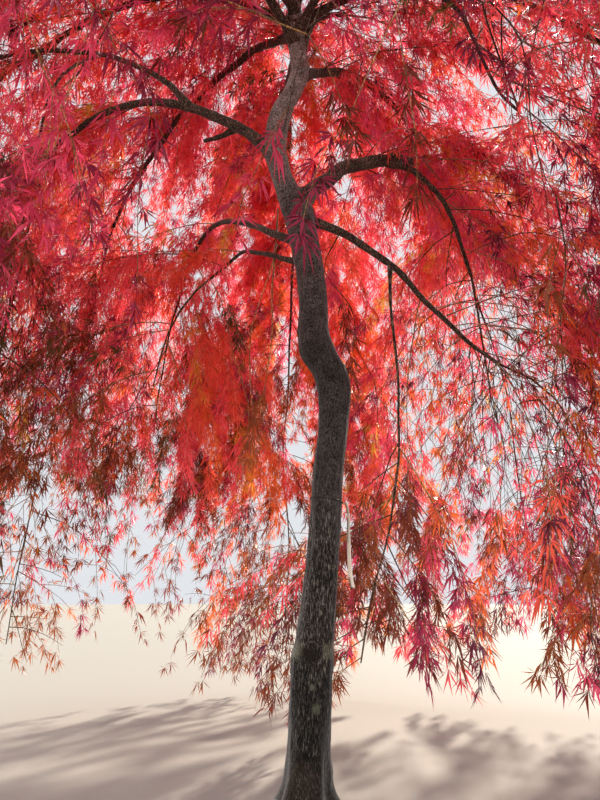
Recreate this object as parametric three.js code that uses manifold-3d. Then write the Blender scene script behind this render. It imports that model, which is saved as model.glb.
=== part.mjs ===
// Weeping laceleaf maple in autumn colour, grown as a tall standard: a kinked trunk, limbs that arch out
// and hang, and an umbrella crown of feathery foliage that falls almost to the ground.
// Millimetres, +Z up. The origin is the middle of the trunk's flat cut at ground level.
// Headings are degrees from +X towards +Y, and -Y is the side from which the tree is usually seen.
import * as THREE from "three";
import { mergeVertices } from "three/addons/utils/BufferGeometryUtils.js";
import Module from "manifold-3d";

const wasm = await Module();
wasm.setup();

// Driving dimensions
const TREE_HEIGHT = 3900;
const CROWN_RADIUS = 2420; // of the curtain, at its widest
const SHOULDER_HEIGHT = 1500; // the crown is widest from here down
const CROWN_FULLNESS = 2.7; // 2 is an ellipse, more is squarer at the shoulder
const CLEARANCE = 0.3; // between a limb and what it grows from
const SPREAD_MARGIN = 14; // a twig or leaf keeps this far inside its own mass's space
const LIMB_MARGIN = 16; // and this far from every limb

// The trunk's middle line and radius: height, offset along X, offset along Y, radius
const TRUNK = [
  [0, -2, 0, 66],
  [170, 11, 2, 65],
  [403, 21, 6, 66],
  [465, 29, 8, 61],
  [725, 58, 12, 59],
  [1045, 86, 14, 58],
  [1200, 106, 12, 57],
  [1320, 111, 6, 59],
  [1440, 92, 0, 63],
  [1520, 50, -4, 67],
  [1600, 32, -6, 59],
  [1750, 32, -6, 54],
  [1930, 16, 0, 57],
  [2110, -16, 4, 62],
  [2210, -48, 4, 62],
  [2290, -80, 0, 52],
  [2400, -114, -6, 48],
  [2510, -130, -10, 48],
  [2620, -124, -8, 48],
  [2730, -102, 0, 45],
  [2860, -48, 6, 42],
  [2970, -20, 8, 41],
  [3130, -34, 4, 38],
  [3280, -44, 0, 36],
  [3490, -52, -4, 27],
];
const TRUNK_TOP = 3490;
const TRUNK_SIDES = 16;
const TRUNK_RINGS = 40;
const FLARE_RADIUS = 27; // added to the trunk's radius at the ground
const FLARE_HEIGHT = 46; // the flare fades by a factor of e over this height
const ROOT_SPURS = 5; // swellings round the foot, one over each main root
const SPUR_DEPTH = 0.16;
const SPUR_TURN = 0.7; // radians, where the first spur lies
const KNUCKLES = [0.05, 0.03]; // shallow swellings up the trunk, as shares of its radius

// Limbs: [name, parent, where, heading, reach, climb, pitch at the butt, pitch at the tip, swing,
// butt radius, tip radius]. `where` is a height on the trunk, or a share of the parent limb's length.
// `reach` and `climb` take the butt to the tip, level and upright. `swing` turns the butt aside from the
// heading, in degrees.
const LIMBS = [
  ["bough_left", "trunk", 2455, 166, 1125, 345, 50, -34, 6, 27, 13],
  ["bough_left_fall", "bough_left", 1, 165, 130, -720, -50, -86, 0, 11, 6],
  ["bough_left_high", "bough_left", 0.42, 194, 860, 70, 60, -38, -10, 16, 8],
  ["bough_left_shoot", "bough_left_high", 0.55, 226, 240, -1280, -52, -76, 10, 7, 4],
  ["bough_back_left", "trunk", 2010, 129, 1090, 350, 36, -46, 14, 18, 9],
  ["bough_back_left_low", "trunk", 1915, 134, 640, 240, 26, -10, 14, 13, 7],
  ["bough_right", "trunk", 2195, 24, 610, 460, 56, 12, 8, 38, 27],
  ["bough_right_fall", "bough_right", 0.86, 26, 470, -520, 4, -72, -12, 17, 8],
  ["bough_low_right", "trunk", 2150, 25, 1060, -505, -6, -14, -10, 19, 8],
  ["bough_hanging", "bough_low_right", 0.38, 118, 210, -1340, -84, -62, -20, 7, 3.5],
  ["stem_right", "trunk", 3040, 32, 300, 500, 74, 22, 14, 17, 12],
  ["stem_left", "trunk", 3370, 205, 440, 150, 52, 4, -8, 16, 11],
  ["stem_front", "trunk", 3380, 312, 420, 120, 50, 0, 10, 15, 10],
  ["rib_right", "trunk", 3240, 356, 1270, -80, 36, -40, -8, 22, 13],
  ["rib_right_fall", "rib_right", 1, 358, 450, -820, -40, -76, 0, 12, 7],
  ["bough_right_high", "rib_right", 0.36, 312, 530, -1180, -30, -62, 24, 12, 5],
  ["rib_back_right", "trunk", 2950, 47, 1250, 190, 44, -38, -10, 22, 13],
  ["rib_back_right_fall", "rib_back_right", 1, 46, 450, -800, -40, -76, 6, 12, 7],
  ["rib_back", "trunk", 3090, 92, 1290, 60, 38, -38, 10, 22, 13],
  ["rib_back_fall", "rib_back", 1, 93, 450, -860, -40, -76, -6, 12, 7],
  ["rib_back_left", "trunk", 3200, 138, 1280, -50, 36, -40, -8, 22, 13],
  ["rib_back_left_fall", "rib_back_left", 1, 137, 450, -820, -40, -76, 6, 12, 7],
  ["rib_left", "trunk", 3250, 177, 1270, -90, 34, -40, 8, 20, 12],
  ["rib_left_fall", "rib_left", 1, 178, 450, -760, -40, -76, 0, 11, 7],
  ["rib_front_left", "trunk", 3120, 219, 1270, 20, 40, -40, 10, 21, 12],
  ["rib_front_left_fall", "rib_front_left", 1, 220, 450, -800, -40, -76, 0, 11, 7],
  ["rib_front", "trunk", 3300, 268, 1280, -120, 32, -34, -10, 20, 12],
  ["rib_front_fall", "rib_front", 1, 268, 640, -800, -34, -72, 0, 11, 7],
  ["rib_front_right", "trunk", 3190, 322, 930, -110, 48, -60, -12, 21, 13],
  ["rib_front_right_fall", "rib_front_right", 1, 322, 560, -760, -46, -76, 0, 12, 7],
];
const LIMB_SIDES = 5;
const LIMB_STEPS = 6; // at least
const RING_SPACING = 200; // along a limb
const SPRING = 1.25; // how far a limb keeps the direction that it starts and ends with
const JOG = 7; // a limb's sideways jog at each node

// Masses of foliage: [name, limb at whose tip the stem starts, heading, pitch, stem length, sprays]
const MASSES = [
  ["foliage_top", "trunk", 84, 30, 1050, 13],
  ["foliage_top_right", "stem_right", 22, 18, 900, 12],
  ["foliage_top_left", "stem_left", 160, 14, 1000, 12],
  ["foliage_top_front", "stem_front", 262, 16, 900, 12],
  ["foliage_shoulder_right", "rib_right", 358, -8, 820, 14],
  ["foliage_shoulder_back_right", "rib_back_right", 46, -8, 820, 14],
  ["foliage_shoulder_back", "rib_back", 92, -8, 820, 14],
  ["foliage_shoulder_back_left", "rib_back_left", 138, -8, 820, 14],
  ["foliage_shoulder_left", "rib_left", 178, -8, 820, 14],
  ["foliage_shoulder_front_left", "rib_front_left", 220, -8, 820, 14],
  ["foliage_shoulder_front", "rib_front", 268, -8, 820, 14],
  ["foliage_shoulder_front_right", "rib_front_right", 322, 8, 1050, 13],
  ["foliage_curtain_right", "rib_right_fall", 358, -56, 1950, 20],
  ["foliage_curtain_back_right", "rib_back_right_fall", 46, -56, 1850, 20],
  ["foliage_curtain_back", "rib_back_fall", 92, -56, 2150, 22],
  ["foliage_curtain_back_left", "rib_back_left_fall", 138, -56, 2050, 21],
  ["foliage_curtain_left", "rib_left_fall", 178, -56, 1750, 19],
  ["foliage_curtain_front_left", "rib_front_left_fall", 220, -56, 1700, 19],
  ["foliage_curtain_front", "rib_front_fall", 268, -60, 1650, 17],
  ["foliage_curtain_front_right", "rib_front_right_fall", 322, -50, 1800, 20],
  ["foliage_left_fall", "bough_left_fall", 140, -80, 700, 7],
  ["foliage_left_high", "bough_left_high", 196, -20, 620, 7],
  ["foliage_left_shoot", "bough_left_shoot", 250, -80, 450, 5],
  ["foliage_back_left", "bough_back_left", 120, -46, 900, 8],
  ["foliage_back_left_low", "bough_back_left_low", 158, -30, 700, 6],
  ["foliage_right_fall", "bough_right_fall", 66, -44, 760, 7],
  ["foliage_low_right", "bough_low_right", 2, -26, 760, 8],
  ["foliage_hanging", "bough_hanging", 110, -60, 340, 3],
];
const STEM_SIDES = 3;
const STEM_STEP = 150;
const STEM_BEND = 0.32; // share of the fall line that a stem takes up at each step
const STEM_WANDER = 0.16;
const STEM_SAMPLE = 0.05; // share of the stem's length on either side, for its direction at a stalk
const LAST_SPRAY_AT = 0.985; // share of the stem's length
const STEM_RADIUS = 10;
const STEM_TIP_RADIUS = 9;
const STALK_LENGTH = [260, 780];
const STALK_RADIUS = 4.3;
const SECOND_STALK_RADIUS = 2;
const STALK_ANGLE = [44, 96]; // between a spray's stalk and what it grows from, in degrees
const OUTWARD_RISE = 400; // stalks fan out over the crown's surface, which faces this far upward
const LEAF_LENGTH = [440, 640]; // one blade stands for a spray of real leaves
const LEAF_WIDTH = 0.42; // share of its length
const LEAF_THICKNESS = 0.018;
const LEAF_WIDEST = 0.42; // share of its length from the stalk
const LEAF_FLARE = 0.5; // how far a blade carries on the way its stalk points
const LEAF_DROOP = 0.35; // and how far it hangs
const LEAF_SCATTER = 0.7;
const SECOND_SPRAY_AT = 0.6; // share of the first spray's stalk
const SPRAYS_APART = 34; // between points on two blades of one mass
const TRIES = 30; // for each spray, until one fits
const SMALLEST_SPRAY = 0.55; // share of its size that a spray shrinks to over the tries

// The lower edge of the crown: heading and height, going round
const HEM = [
  [0, 260],
  [45, 420],
  [90, 70],
  [135, 160],
  [180, 560],
  [225, 620],
  [270, 480],
  [315, 420],
  [360, 260],
];

// The curtain is parted at the front, so that the trunk shows: nothing grows in this cone
const PARTING_EYE = new THREE.Vector3(-20, -2100, 610);
const PARTING_PITCH = 14;
const PARTING_HALF_WIDTH = 24; // degrees
const PARTING_HALF_HEIGHT = 33;
const PARTING_START = -30; // level, from the cone's point
const PARTING_DEPTH = 2040; // level, as far as the trunk
const PARTING_ROOM = 800; // in front of the cone's point, in every direction

// The tie round the trunk, and the plain strip that hangs from it
const TIE_HEIGHT = 935;
const TIE_WIRE = 3.2;
const TAG_WIDTH = 16;
const TAG_LENGTH = 310;
const TAG_THICKNESS = 1.4;

// The fall line: level and outward over the top of the crown, straight down at the curtain
const FALL_HEIGHT = 1900;
const FALL_REACH = 2200;
const FALL_RISE = 1700;
const FALL_CENTRE = 150; // inside this radius a mass keeps its own heading
const FALL_LEAST = 60; // added to the radius, so that growth over the trunk still hangs a little

const DEGREES = Math.PI / 180;

// Mulberry: the same numbers from the same seed
function seeded(seed) {
  let state = seed >>> 0;
  return () => {
    state = (state + 0x6d2b79f5) >>> 0;
    let n = Math.imul(state ^ (state >>> 15), state | 1);
    n = (n + Math.imul(n ^ (n >>> 7), n | 61)) ^ n;
    return ((n ^ (n >>> 14)) >>> 0) / 4294967296;
  };
}

const between = (random, [low, high]) => low + (high - low) * random();

function pointing(heading, pitch) {
  const level = Math.cos(pitch * DEGREES);
  return new THREE.Vector3(
    level * Math.cos(heading * DEGREES),
    level * Math.sin(heading * DEGREES),
    Math.sin(pitch * DEGREES),
  );
}

// A row's values at a place between the rows of a table, joined by smooth curves
function smoothRow(table, place) {
  let i = table.findIndex((row) => row[0] > place) - 1;
  if (i < 0) i = place <= table[0][0] ? 0 : table.length - 2;
  const at = (k) => table[Math.min(table.length - 1, Math.max(0, k))];
  const [a, b, c, d] = [at(i - 1), at(i), at(i + 1), at(i + 2)];
  const span = c[0] - b[0];
  const t = Math.min(1, Math.max(0, (place - b[0]) / span));
  return b.map((value, k) => {
    const slope = (low, high) => (high[0] === low[0] ? 0 : (high[k] - low[k]) / (high[0] - low[0]));
    const m0 = slope(a, c) * span;
    const m1 = slope(b, d) * span;
    const t2 = t * t;
    const t3 = t2 * t;
    return (2 * t3 - 3 * t2 + 1) * value + (t3 - 2 * t2 + t) * m0 + (3 * t2 - 2 * t3) * c[k] + (t3 - t2) * m1;
  });
}

const trunkMiddle = (z) => {
  const [, x, y] = smoothRow(TRUNK, z);
  return new THREE.Vector3(x, y, z);
};
const trunkRadius = (z) => smoothRow(TRUNK, z)[3];
const flareAt = (z) => Math.exp(-z / FLARE_HEIGHT);

// Geometry from rings of points. Each end is a flat fan from the ring's first point, or runs on to `tip`.
function closedRings(rings, tip) {
  const sides = rings[0].length;
  const points = rings.flat();
  const last = (rings.length - 1) * sides;
  if (tip) points.push(tip);
  const faces = [];
  for (let j = 0; j < sides; j++) {
    const k = (j + 1) % sides;
    for (let i = 0; i + 1 < rings.length; i++) {
      const [a, b, c, d] = [i * sides + j, i * sides + k, (i + 1) * sides + k, (i + 1) * sides + j];
      faces.push(a, b, c, a, c, d);
    }
    if (j > 0 && k > 0) faces.push(0, k, j);
    if (tip) faces.push(last + j, last + k, last + sides);
    else if (j > 0 && k > 0) faces.push(last, last + j, last + k);
  }
  const geometry = new THREE.BufferGeometry();
  const numbers = points.flatMap((p) => [p.x, p.y, p.z]);
  geometry.setAttribute("position", new THREE.Float32BufferAttribute(numbers, 3));
  geometry.setIndex(faces);
  return geometry;
}

// A tapering limb along a path of points, with a radius at each point
function taperedTube(path, radii, sides) {
  let across = new THREE.Vector3(0.31, 0.95, 0.12);
  const rings = path.map((point, i) => {
    const along = path[Math.min(i + 1, path.length - 1)].clone().sub(path[Math.max(i - 1, 0)]).normalize();
    across = across.clone().addScaledVector(along, -across.dot(along)).normalize();
    const up = along.clone().cross(across);
    return Array.from({ length: sides }, (_, j) => {
      const turn = (2 * Math.PI * j) / sides;
      return point
        .clone()
        .addScaledVector(across, radii[i] * Math.cos(turn))
        .addScaledVector(up, radii[i] * Math.sin(turn));
    });
  });
  return closedRings(rings);
}

// The trunk with its radius grown by `extra`: level rings, so the cut at the ground is flat
function trunkGeometry(extra) {
  const rings = [];
  for (let i = 0; i < TRUNK_RINGS; i++) {
    const share = i / (TRUNK_RINGS - 1);
    const z = TRUNK_TOP * (0.35 * share * share + 0.65 * share);
    const middle = trunkMiddle(z);
    const ring = [];
    for (let j = 0; j < TRUNK_SIDES; j++) {
      const turn = (2 * Math.PI * j) / TRUNK_SIDES;
      const spur = 1 + SPUR_DEPTH * flareAt(z / 2) * Math.sin(ROOT_SPURS * turn + SPUR_TURN);
      const knuckles = KNUCKLES[0] * Math.sin(2 * turn + z / 210) + KNUCKLES[1] * Math.sin(3 * turn - z / 150);
      const radius = (trunkRadius(z) + FLARE_RADIUS * flareAt(z)) * spur * (1 + knuckles) + extra;
      ring.push(new THREE.Vector3(middle.x + radius * Math.cos(turn), middle.y + radius * Math.sin(turn), z));
    }
    rings.push(ring);
  }
  if (extra > 0) {
    const lift = new THREE.Vector3(0, 0, extra);
    rings[rings.length - 1].forEach((p) => p.add(lift));
    rings[0].forEach((p) => p.sub(lift));
  }
  return closedRings(rings);
}

function toSolid(geometry) {
  const bare = geometry.clone();
  bare.deleteAttribute("normal");
  bare.deleteAttribute("uv");
  const merged = mergeVertices(bare, 1e-3);
  return new wasm.Manifold(
    new wasm.Mesh({
      numProp: 3,
      vertProperties: new Float32Array(merged.attributes.position.array),
      triVerts: new Uint32Array(merged.index.array),
    }),
  );
}

function toGeometry(solid) {
  const mesh = solid.getMesh();
  const geometry = new THREE.BufferGeometry();
  const points = [];
  for (let i = 0; i < mesh.vertProperties.length; i += mesh.numProp) {
    points.push(...mesh.vertProperties.subarray(i, i + 3));
  }
  geometry.setAttribute("position", new THREE.Float32BufferAttribute(points, 3));
  geometry.setIndex(Array.from(mesh.triVerts));
  return geometry;
}

// Limbs as paths: worked out once, then used for the tubes and to keep foliage clear
const limbs = new Map();

function shareOf(path, share) {
  const place = Math.max(0, share) * (path.length - 1);
  const i = Math.min(path.length - 2, Math.floor(place));
  return path[i].clone().lerp(path[i + 1], place - i);
}

function growLimb([name, parent, where, heading, reach, climb, pitchButt, pitchTip, swing, butt, tip], index) {
  const start = parent === "trunk" ? trunkMiddle(where) : shareOf(limbs.get(parent).path, where);
  const end = start.clone().add(pointing(heading, 0).multiplyScalar(reach));
  end.z += climb;
  const length = start.distanceTo(end) * SPRING;
  const leave = pointing(heading + swing, pitchButt).multiplyScalar(length);
  const arrive = pointing(heading - swing / 2, pitchTip).multiplyScalar(length);
  const steps = Math.max(LIMB_STEPS, Math.round(length / RING_SPACING));
  const random = seeded(100 + index);
  const path = [];
  const radii = [];
  for (let i = 0; i <= steps; i++) {
    const t = i / steps;
    const t2 = t * t;
    const t3 = t2 * t;
    const point = new THREE.Vector3()
      .addScaledVector(start, 2 * t3 - 3 * t2 + 1)
      .addScaledVector(leave, t3 - 2 * t2 + t)
      .addScaledVector(end, 3 * t2 - 2 * t3)
      .addScaledVector(arrive, t3 - t2);
    const jog = new THREE.Vector3(random() - 0.5, random() - 0.5, random() - 0.5).multiplyScalar(2 * JOG);
    if (i > 0 && i < steps) point.add(jog);
    path.push(point);
    radii.push(butt + (tip - butt) * t ** 0.8);
  }
  limbs.set(name, { path, radii, parent });
}

LIMBS.forEach(growLimb);

function limbSolid({ path, radii }, extra) {
  const grownPath = path.map((p) => p.clone());
  if (extra > 0) {
    const last = grownPath.length - 1;
    grownPath[last].addScaledVector(path[last].clone().sub(path[last - 1]).normalize(), extra);
  }
  return toSolid(taperedTube(grownPath, radii.map((r) => r + extra), LIMB_SIDES));
}

const trunkSolid = toSolid(trunkGeometry(0));
const trunkCut = toSolid(trunkGeometry(CLEARANCE));
const cutOf = (name) => (name === "trunk" ? trunkCut : limbSolid(limbs.get(name), CLEARANCE));

// The largest of a solid's separate pieces, for a cut that leaves a sliver behind
function largest(solid) {
  return solid.decompose().reduce((best, piece) => (piece.volume() > best.volume() ? piece : best));
}

function fallLine(point, heading) {
  const r = Math.hypot(point.x, point.y);
  const out = r > FALL_CENTRE ? new THREE.Vector3(point.x / r, point.y / r, 0) : pointing(heading, 0);
  const level = Math.max(0, (point.z - FALL_HEIGHT) / FALL_RISE ** 2);
  const drop = (r + FALL_LEAST) / FALL_REACH ** 2;
  return out.multiplyScalar(level).setZ(-drop).normalize();
}

function hemAt(point) {
  const heading = (Math.atan2(point.y, point.x) / DEGREES + 360) % 360;
  const i = HEM.findIndex((row) => row[0] > heading) - 1;
  const [[h0, z0], [h1, z1]] = [HEM[i], HEM[i + 1]];
  return z0 + ((z1 - z0) * (heading - h0)) / (h1 - h0);
}

function inCrown(point) {
  const r = Math.hypot(point.x, point.y);
  if (point.z < hemAt(point)) return false;
  if (point.z <= SHOULDER_HEIGHT) return r < CROWN_RADIUS;
  const up = (point.z - SHOULDER_HEIGHT) / (TREE_HEIGHT - SHOULDER_HEIGHT);
  return up < 1 && (r / CROWN_RADIUS) ** CROWN_FULLNESS + up ** CROWN_FULLNESS < 1;
}

function inParting(point) {
  const ray = point.clone().sub(PARTING_EYE);
  if (ray.y < PARTING_START || ray.y > PARTING_DEPTH) return false;
  if (ray.length() < PARTING_ROOM) return true;
  const side = Math.abs(Math.atan2(ray.x, ray.y)) / DEGREES;
  const height = Math.atan2(ray.z, Math.hypot(ray.x, ray.y)) / DEGREES;
  return side < PARTING_HALF_WIDTH && Math.abs(height - PARTING_PITCH) < PARTING_HALF_HEIGHT;
}

function distanceToPath(point, path) {
  let best = Infinity;
  let nearest = 0;
  const line = new THREE.Line3();
  const foot = new THREE.Vector3();
  for (let i = 0; i + 1 < path.length; i++) {
    line.set(path[i], path[i + 1]).closestPointToPoint(point, true, foot);
    const distance = foot.distanceTo(point);
    if (distance < best) [best, nearest] = [distance, i];
  }
  return [best, nearest];
}

// Stems come first, because each point of the crown belongs to the mass whose stem is nearest
function growStem([name, limb, heading, pitch, length, sprays], index) {
  const random = seeded(700 + index);
  const start = limb === "trunk" ? trunkMiddle(TRUNK_TOP) : limbs.get(limb).path.at(-1);
  const path = [start.clone()];
  const direction = pointing(heading, pitch);
  const steps = Math.round(length / STEM_STEP);
  for (let i = 0; i < steps; i++) {
    const next = path.at(-1).clone().addScaledVector(direction, length / steps);
    path.push(next);
    direction.multiplyScalar(1 - STEM_BEND).addScaledVector(fallLine(next, heading), STEM_BEND);
    direction.x += STEM_WANDER * (random() - 0.5);
    direction.y += STEM_WANDER * (random() - 0.5);
    direction.normalize();
  }
  return { name, limb, heading, path, random, sprays };
}

const stems = MASSES.map(growStem);

function mayGrow(points, mass) {
  return points.every((point) => {
    if (!inCrown(point) || inParting(point)) return false;
    const [own] = distanceToPath(point, mass.path);
    for (const other of stems) {
      if (other !== mass && distanceToPath(point, other.path)[0] < own + SPREAD_MARGIN) return false;
    }
    for (const { path, radii } of limbs.values()) {
      const [distance, i] = distanceToPath(point, path);
      if (distance < radii[i] + LIMB_MARGIN) return false;
    }
    const z = Math.min(TRUNK_TOP, point.z);
    return point.distanceTo(trunkMiddle(z)) > trunkRadius(z) + 4 * LIMB_MARGIN;
  });
}

// A spray: a three-sided stalk that widens into a flat blade with a ridge, and ends in a point
function sprayOf(root, direction, heading, radius, scale, random) {
  const stalk = between(random, STALK_LENGTH) * scale;
  const length = between(random, LEAF_LENGTH) * scale;
  const wrist = root.clone().addScaledVector(direction, stalk);
  const along = direction.clone().multiplyScalar(LEAF_FLARE).add(fallLine(wrist, heading));
  along.z -= LEAF_DROOP;
  along.x += LEAF_SCATTER * (random() - 0.5);
  along.y += LEAF_SCATTER * (random() - 0.5);
  along.normalize();
  const flat = new THREE.Vector3(random() - 0.5, random() - 0.5, random());
  const side = along.clone().cross(flat).normalize();
  const normal = along.clone().cross(side).normalize();
  const middle = wrist.clone().addScaledVector(along, LEAF_WIDEST * length);
  const tip = wrist.clone().addScaledVector(along, length);
  const ring = (centre, across, up) =>
    [
      [1, -0.5],
      [0, 1],
      [-1, -0.5],
    ].map(([a, b]) => centre.clone().addScaledVector(side, a * across).addScaledVector(normal, b * up));
  const half = (LEAF_WIDTH * length) / 2;
  const rings = [
    ring(root, radius, radius),
    ring(wrist, STALK_RADIUS, STALK_RADIUS),
    ring(middle, half, (LEAF_THICKNESS * length) / 1.5),
  ];
  const samples = [];
  for (let i = 1; i <= 4; i++) samples.push(root.clone().lerp(wrist, i / 4));
  for (let i = 1; i <= 9; i++) {
    const share = i / 9;
    const wide = half * (share < LEAF_WIDEST ? share / LEAF_WIDEST : (1 - share) / (1 - LEAF_WIDEST));
    const centre = wrist.clone().lerp(tip, share);
    for (let j = -2; j <= 2; j++) samples.push(centre.clone().addScaledVector(side, (wide * j) / 2));
  }
  return { root, wrist, direction, samples, solid: () => toSolid(closedRings(rings, tip)) };
}

// Sprays leave the stem left and right in turn, and every third one grows on the stalk of the one before
function growMass(mass) {
  const { random, path, heading } = mass;
  const radii = path.map((_, i) => STEM_RADIUS + ((STEM_TIP_RADIUS - STEM_RADIUS) * i) / (path.length - 1));
  let solid = toSolid(taperedTube(path, radii, STEM_SIDES));
  const taken = [];
  const tryToGrow = (root, parentDirection, side, radius) => {
    const outward = new THREE.Vector3(root.x, root.y, OUTWARD_RISE).normalize();
    for (let i = 0; i < TRIES; i++) {
      const turn = (i % 4 === 3 ? -side : side) * between(random, STALK_ANGLE) * DEGREES;
      const direction = parentDirection.clone().applyAxisAngle(outward, turn);
      direction.addScaledVector(outward, 0.7 * (random() - 0.4)).normalize();
      const scale = 1 - ((1 - SMALLEST_SPRAY) * i) / TRIES;
      const spray = sprayOf(root, direction, heading, radius, scale, random);
      const clear = spray.samples.every(
        (p) => p.distanceTo(root) < 3 * SPRAYS_APART || taken.every((q) => q.distanceTo(p) > SPRAYS_APART),
      );
      if (!clear || !mayGrow(spray.samples, mass)) continue;
      solid = solid.add(spray.solid());
      taken.push(...spray.samples);
      return spray;
    }
    return null;
  };
  let spray = null;
  for (let n = 0; n < mass.sprays; n++) {
    const side = n % 2 ? 1 : -1;
    if (spray && n % 3 === 2) {
      tryToGrow(spray.root.clone().lerp(spray.wrist, SECOND_SPRAY_AT), spray.direction, side, SECOND_STALK_RADIUS);
      continue;
    }
    const share = (n + 0.8) / mass.sprays;
    const root = shareOf(path, Math.min(share, LAST_SPRAY_AT));
    const ahead = shareOf(path, Math.min(1, share + STEM_SAMPLE));
    const direction = ahead.sub(shareOf(path, share - STEM_SAMPLE)).normalize();
    spray = tryToGrow(root, direction, side, STALK_RADIUS);
  }
  const atSameTip = LIMBS.filter((row) => row[1] === mass.limb && row[2] === 1).map((row) => row[0]);
  for (const name of [mass.limb, ...atSameTip]) solid = solid.subtract(cutOf(name));
  mass.solid = largest(solid);
}

stems.forEach(growMass);

// Finishes
const bark = new THREE.MeshStandardMaterial({ color: 0x5a4a40, roughness: 0.9, metalness: 0 });
const smoothBark = new THREE.MeshStandardMaterial({ color: 0x6b5a4b, roughness: 0.85, metalness: 0 });
const foliage = new THREE.MeshStandardMaterial({ color: 0xb3161b, roughness: 0.6, metalness: 0 });
const rubber = new THREE.MeshStandardMaterial({ color: 0x14130f, roughness: 0.7, metalness: 0 });

const tree = new THREE.Group();

function addPart(name, geometry, material) {
  const mesh = new THREE.Mesh(geometry, material);
  mesh.name = name;
  tree.add(mesh);
}

addPart("trunk", toGeometry(trunkSolid), bark);
for (const [name, limb] of limbs) {
  const solid = limbSolid(limb, 0).subtract(cutOf(limb.parent));
  addPart(name, toGeometry(largest(solid)), smoothBark);
}
for (const mass of stems) addPart(mass.name, toGeometry(mass.solid), foliage);

// The tie lies in a level ring on the bark, and the strip hangs from it on the trunk's right-hand side
const tieRadius = trunkRadius(TIE_HEIGHT) * (1 + KNUCKLES[0]) + TIE_WIRE / 2;
const tieMiddle = trunkMiddle(TIE_HEIGHT);
const ring = new THREE.TorusGeometry(tieRadius, TIE_WIRE, 4, 24);
ring.translate(tieMiddle.x, tieMiddle.y, tieMiddle.z);
const strip = new THREE.BoxGeometry(TAG_THICKNESS, TAG_WIDTH, TAG_LENGTH);
strip.translate(tieMiddle.x + tieRadius + TIE_WIRE / 2, tieMiddle.y, TIE_HEIGHT + TIE_WIRE - TAG_LENGTH / 2);
const tie = toSolid(ring).subtract(trunkCut).add(toSolid(strip).subtract(trunkCut));
addPart("trunk_tie", toGeometry(largest(tie)), rubber);

export default tree;
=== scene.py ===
# %% [markdown]
# # A weeping laceleaf maple in autumn colour
#
# This maple was grafted high and grown as a tall standard: a kinked trunk about 13 cm thick carries
# limbs that arch out and hang, under an umbrella of feathery scarlet leaves.
# The CAD model gives the trunk, the limbs and the reach of every mass of foliage.
# Here each of them gets the look of the real plant: bark with its relief, fine twigs, and the leaves.

# %% The frame
import math

import bmesh
import bpy
import numpy as np
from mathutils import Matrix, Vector, noise


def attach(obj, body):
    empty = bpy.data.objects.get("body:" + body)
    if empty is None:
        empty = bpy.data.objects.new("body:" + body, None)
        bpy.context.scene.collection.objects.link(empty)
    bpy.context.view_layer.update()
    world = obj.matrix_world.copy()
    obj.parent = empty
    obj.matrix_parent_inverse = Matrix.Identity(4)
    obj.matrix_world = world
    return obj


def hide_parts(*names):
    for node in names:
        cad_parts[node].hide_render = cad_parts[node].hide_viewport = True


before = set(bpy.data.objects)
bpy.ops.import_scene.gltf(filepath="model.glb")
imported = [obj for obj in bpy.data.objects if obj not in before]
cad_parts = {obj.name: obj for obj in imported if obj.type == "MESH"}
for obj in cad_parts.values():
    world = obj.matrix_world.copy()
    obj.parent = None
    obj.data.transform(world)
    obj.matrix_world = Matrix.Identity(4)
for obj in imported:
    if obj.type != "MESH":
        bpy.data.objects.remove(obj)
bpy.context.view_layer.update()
nodes = sorted(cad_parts)
limb_nodes = [name for name in nodes if name.startswith(("bough", "stem", "rib"))]
mass_nodes = [name for name in nodes if name.startswith("foliage")]
print(len(nodes), "CAD nodes:", len(limb_nodes), "limbs and", len(mass_nodes), "masses of foliage")

# %% [markdown]
# ## Sizes of the tree
#
# The tree stands in metres, +Z up, with the middle of the trunk's cut at the origin. A heading is in degrees
# from +X towards +Y, and -Y is the side from which the tree is seen.
# The rows below are the same named sizes that the CAD model is worked out from, in millimetres, so limbs and
# twigs made from them here lie exactly where the CAD limbs are.

# %% The trunk's height, offsets and radius
MM = 0.001
TREE_HEIGHT = 3.9
CROWN_RADIUS = 2.42
SHOULDER_HEIGHT = 1.5  # the crown is widest from here down
CROWN_FULLNESS = 2.7  # 2 is an ellipse, more is squarer at the shoulder

TRUNK = np.array([
    [0, -2, 0, 66],
    [170, 11, 2, 65],
    [403, 21, 6, 66],
    [465, 29, 8, 61],
    [725, 58, 12, 59],
    [1045, 86, 14, 58],
    [1200, 106, 12, 57],
    [1320, 111, 6, 59],
    [1440, 92, 0, 63],
    [1520, 50, -4, 67],
    [1600, 32, -6, 59],
    [1750, 32, -6, 54],
    [1930, 16, 0, 57],
    [2110, -16, 4, 62],
    [2210, -48, 4, 62],
    [2290, -80, 0, 52],
    [2400, -114, -6, 48],
    [2510, -130, -10, 48],
    [2620, -124, -8, 48],
    [2730, -102, 0, 45],
    [2860, -48, 6, 42],
    [2970, -20, 8, 41],
    [3130, -34, 4, 38],
    [3280, -44, 0, 36],
    [3490, -52, -4, 27],
]) * MM
TRUNK_TOP = TRUNK[-1, 0]
FLARE_RADIUS = 0.027  # added to the trunk's radius at the ground
FLARE_HEIGHT = 0.046  # the flare fades by a factor of e over this height
ROOT_SPURS = 5
SPUR_DEPTH = 0.16
SPUR_TURN = 0.7
print("trunk", TRUNK_TOP, "m tall,", 2 * TRUNK[4, 3], "m thick at breast height")

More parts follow.
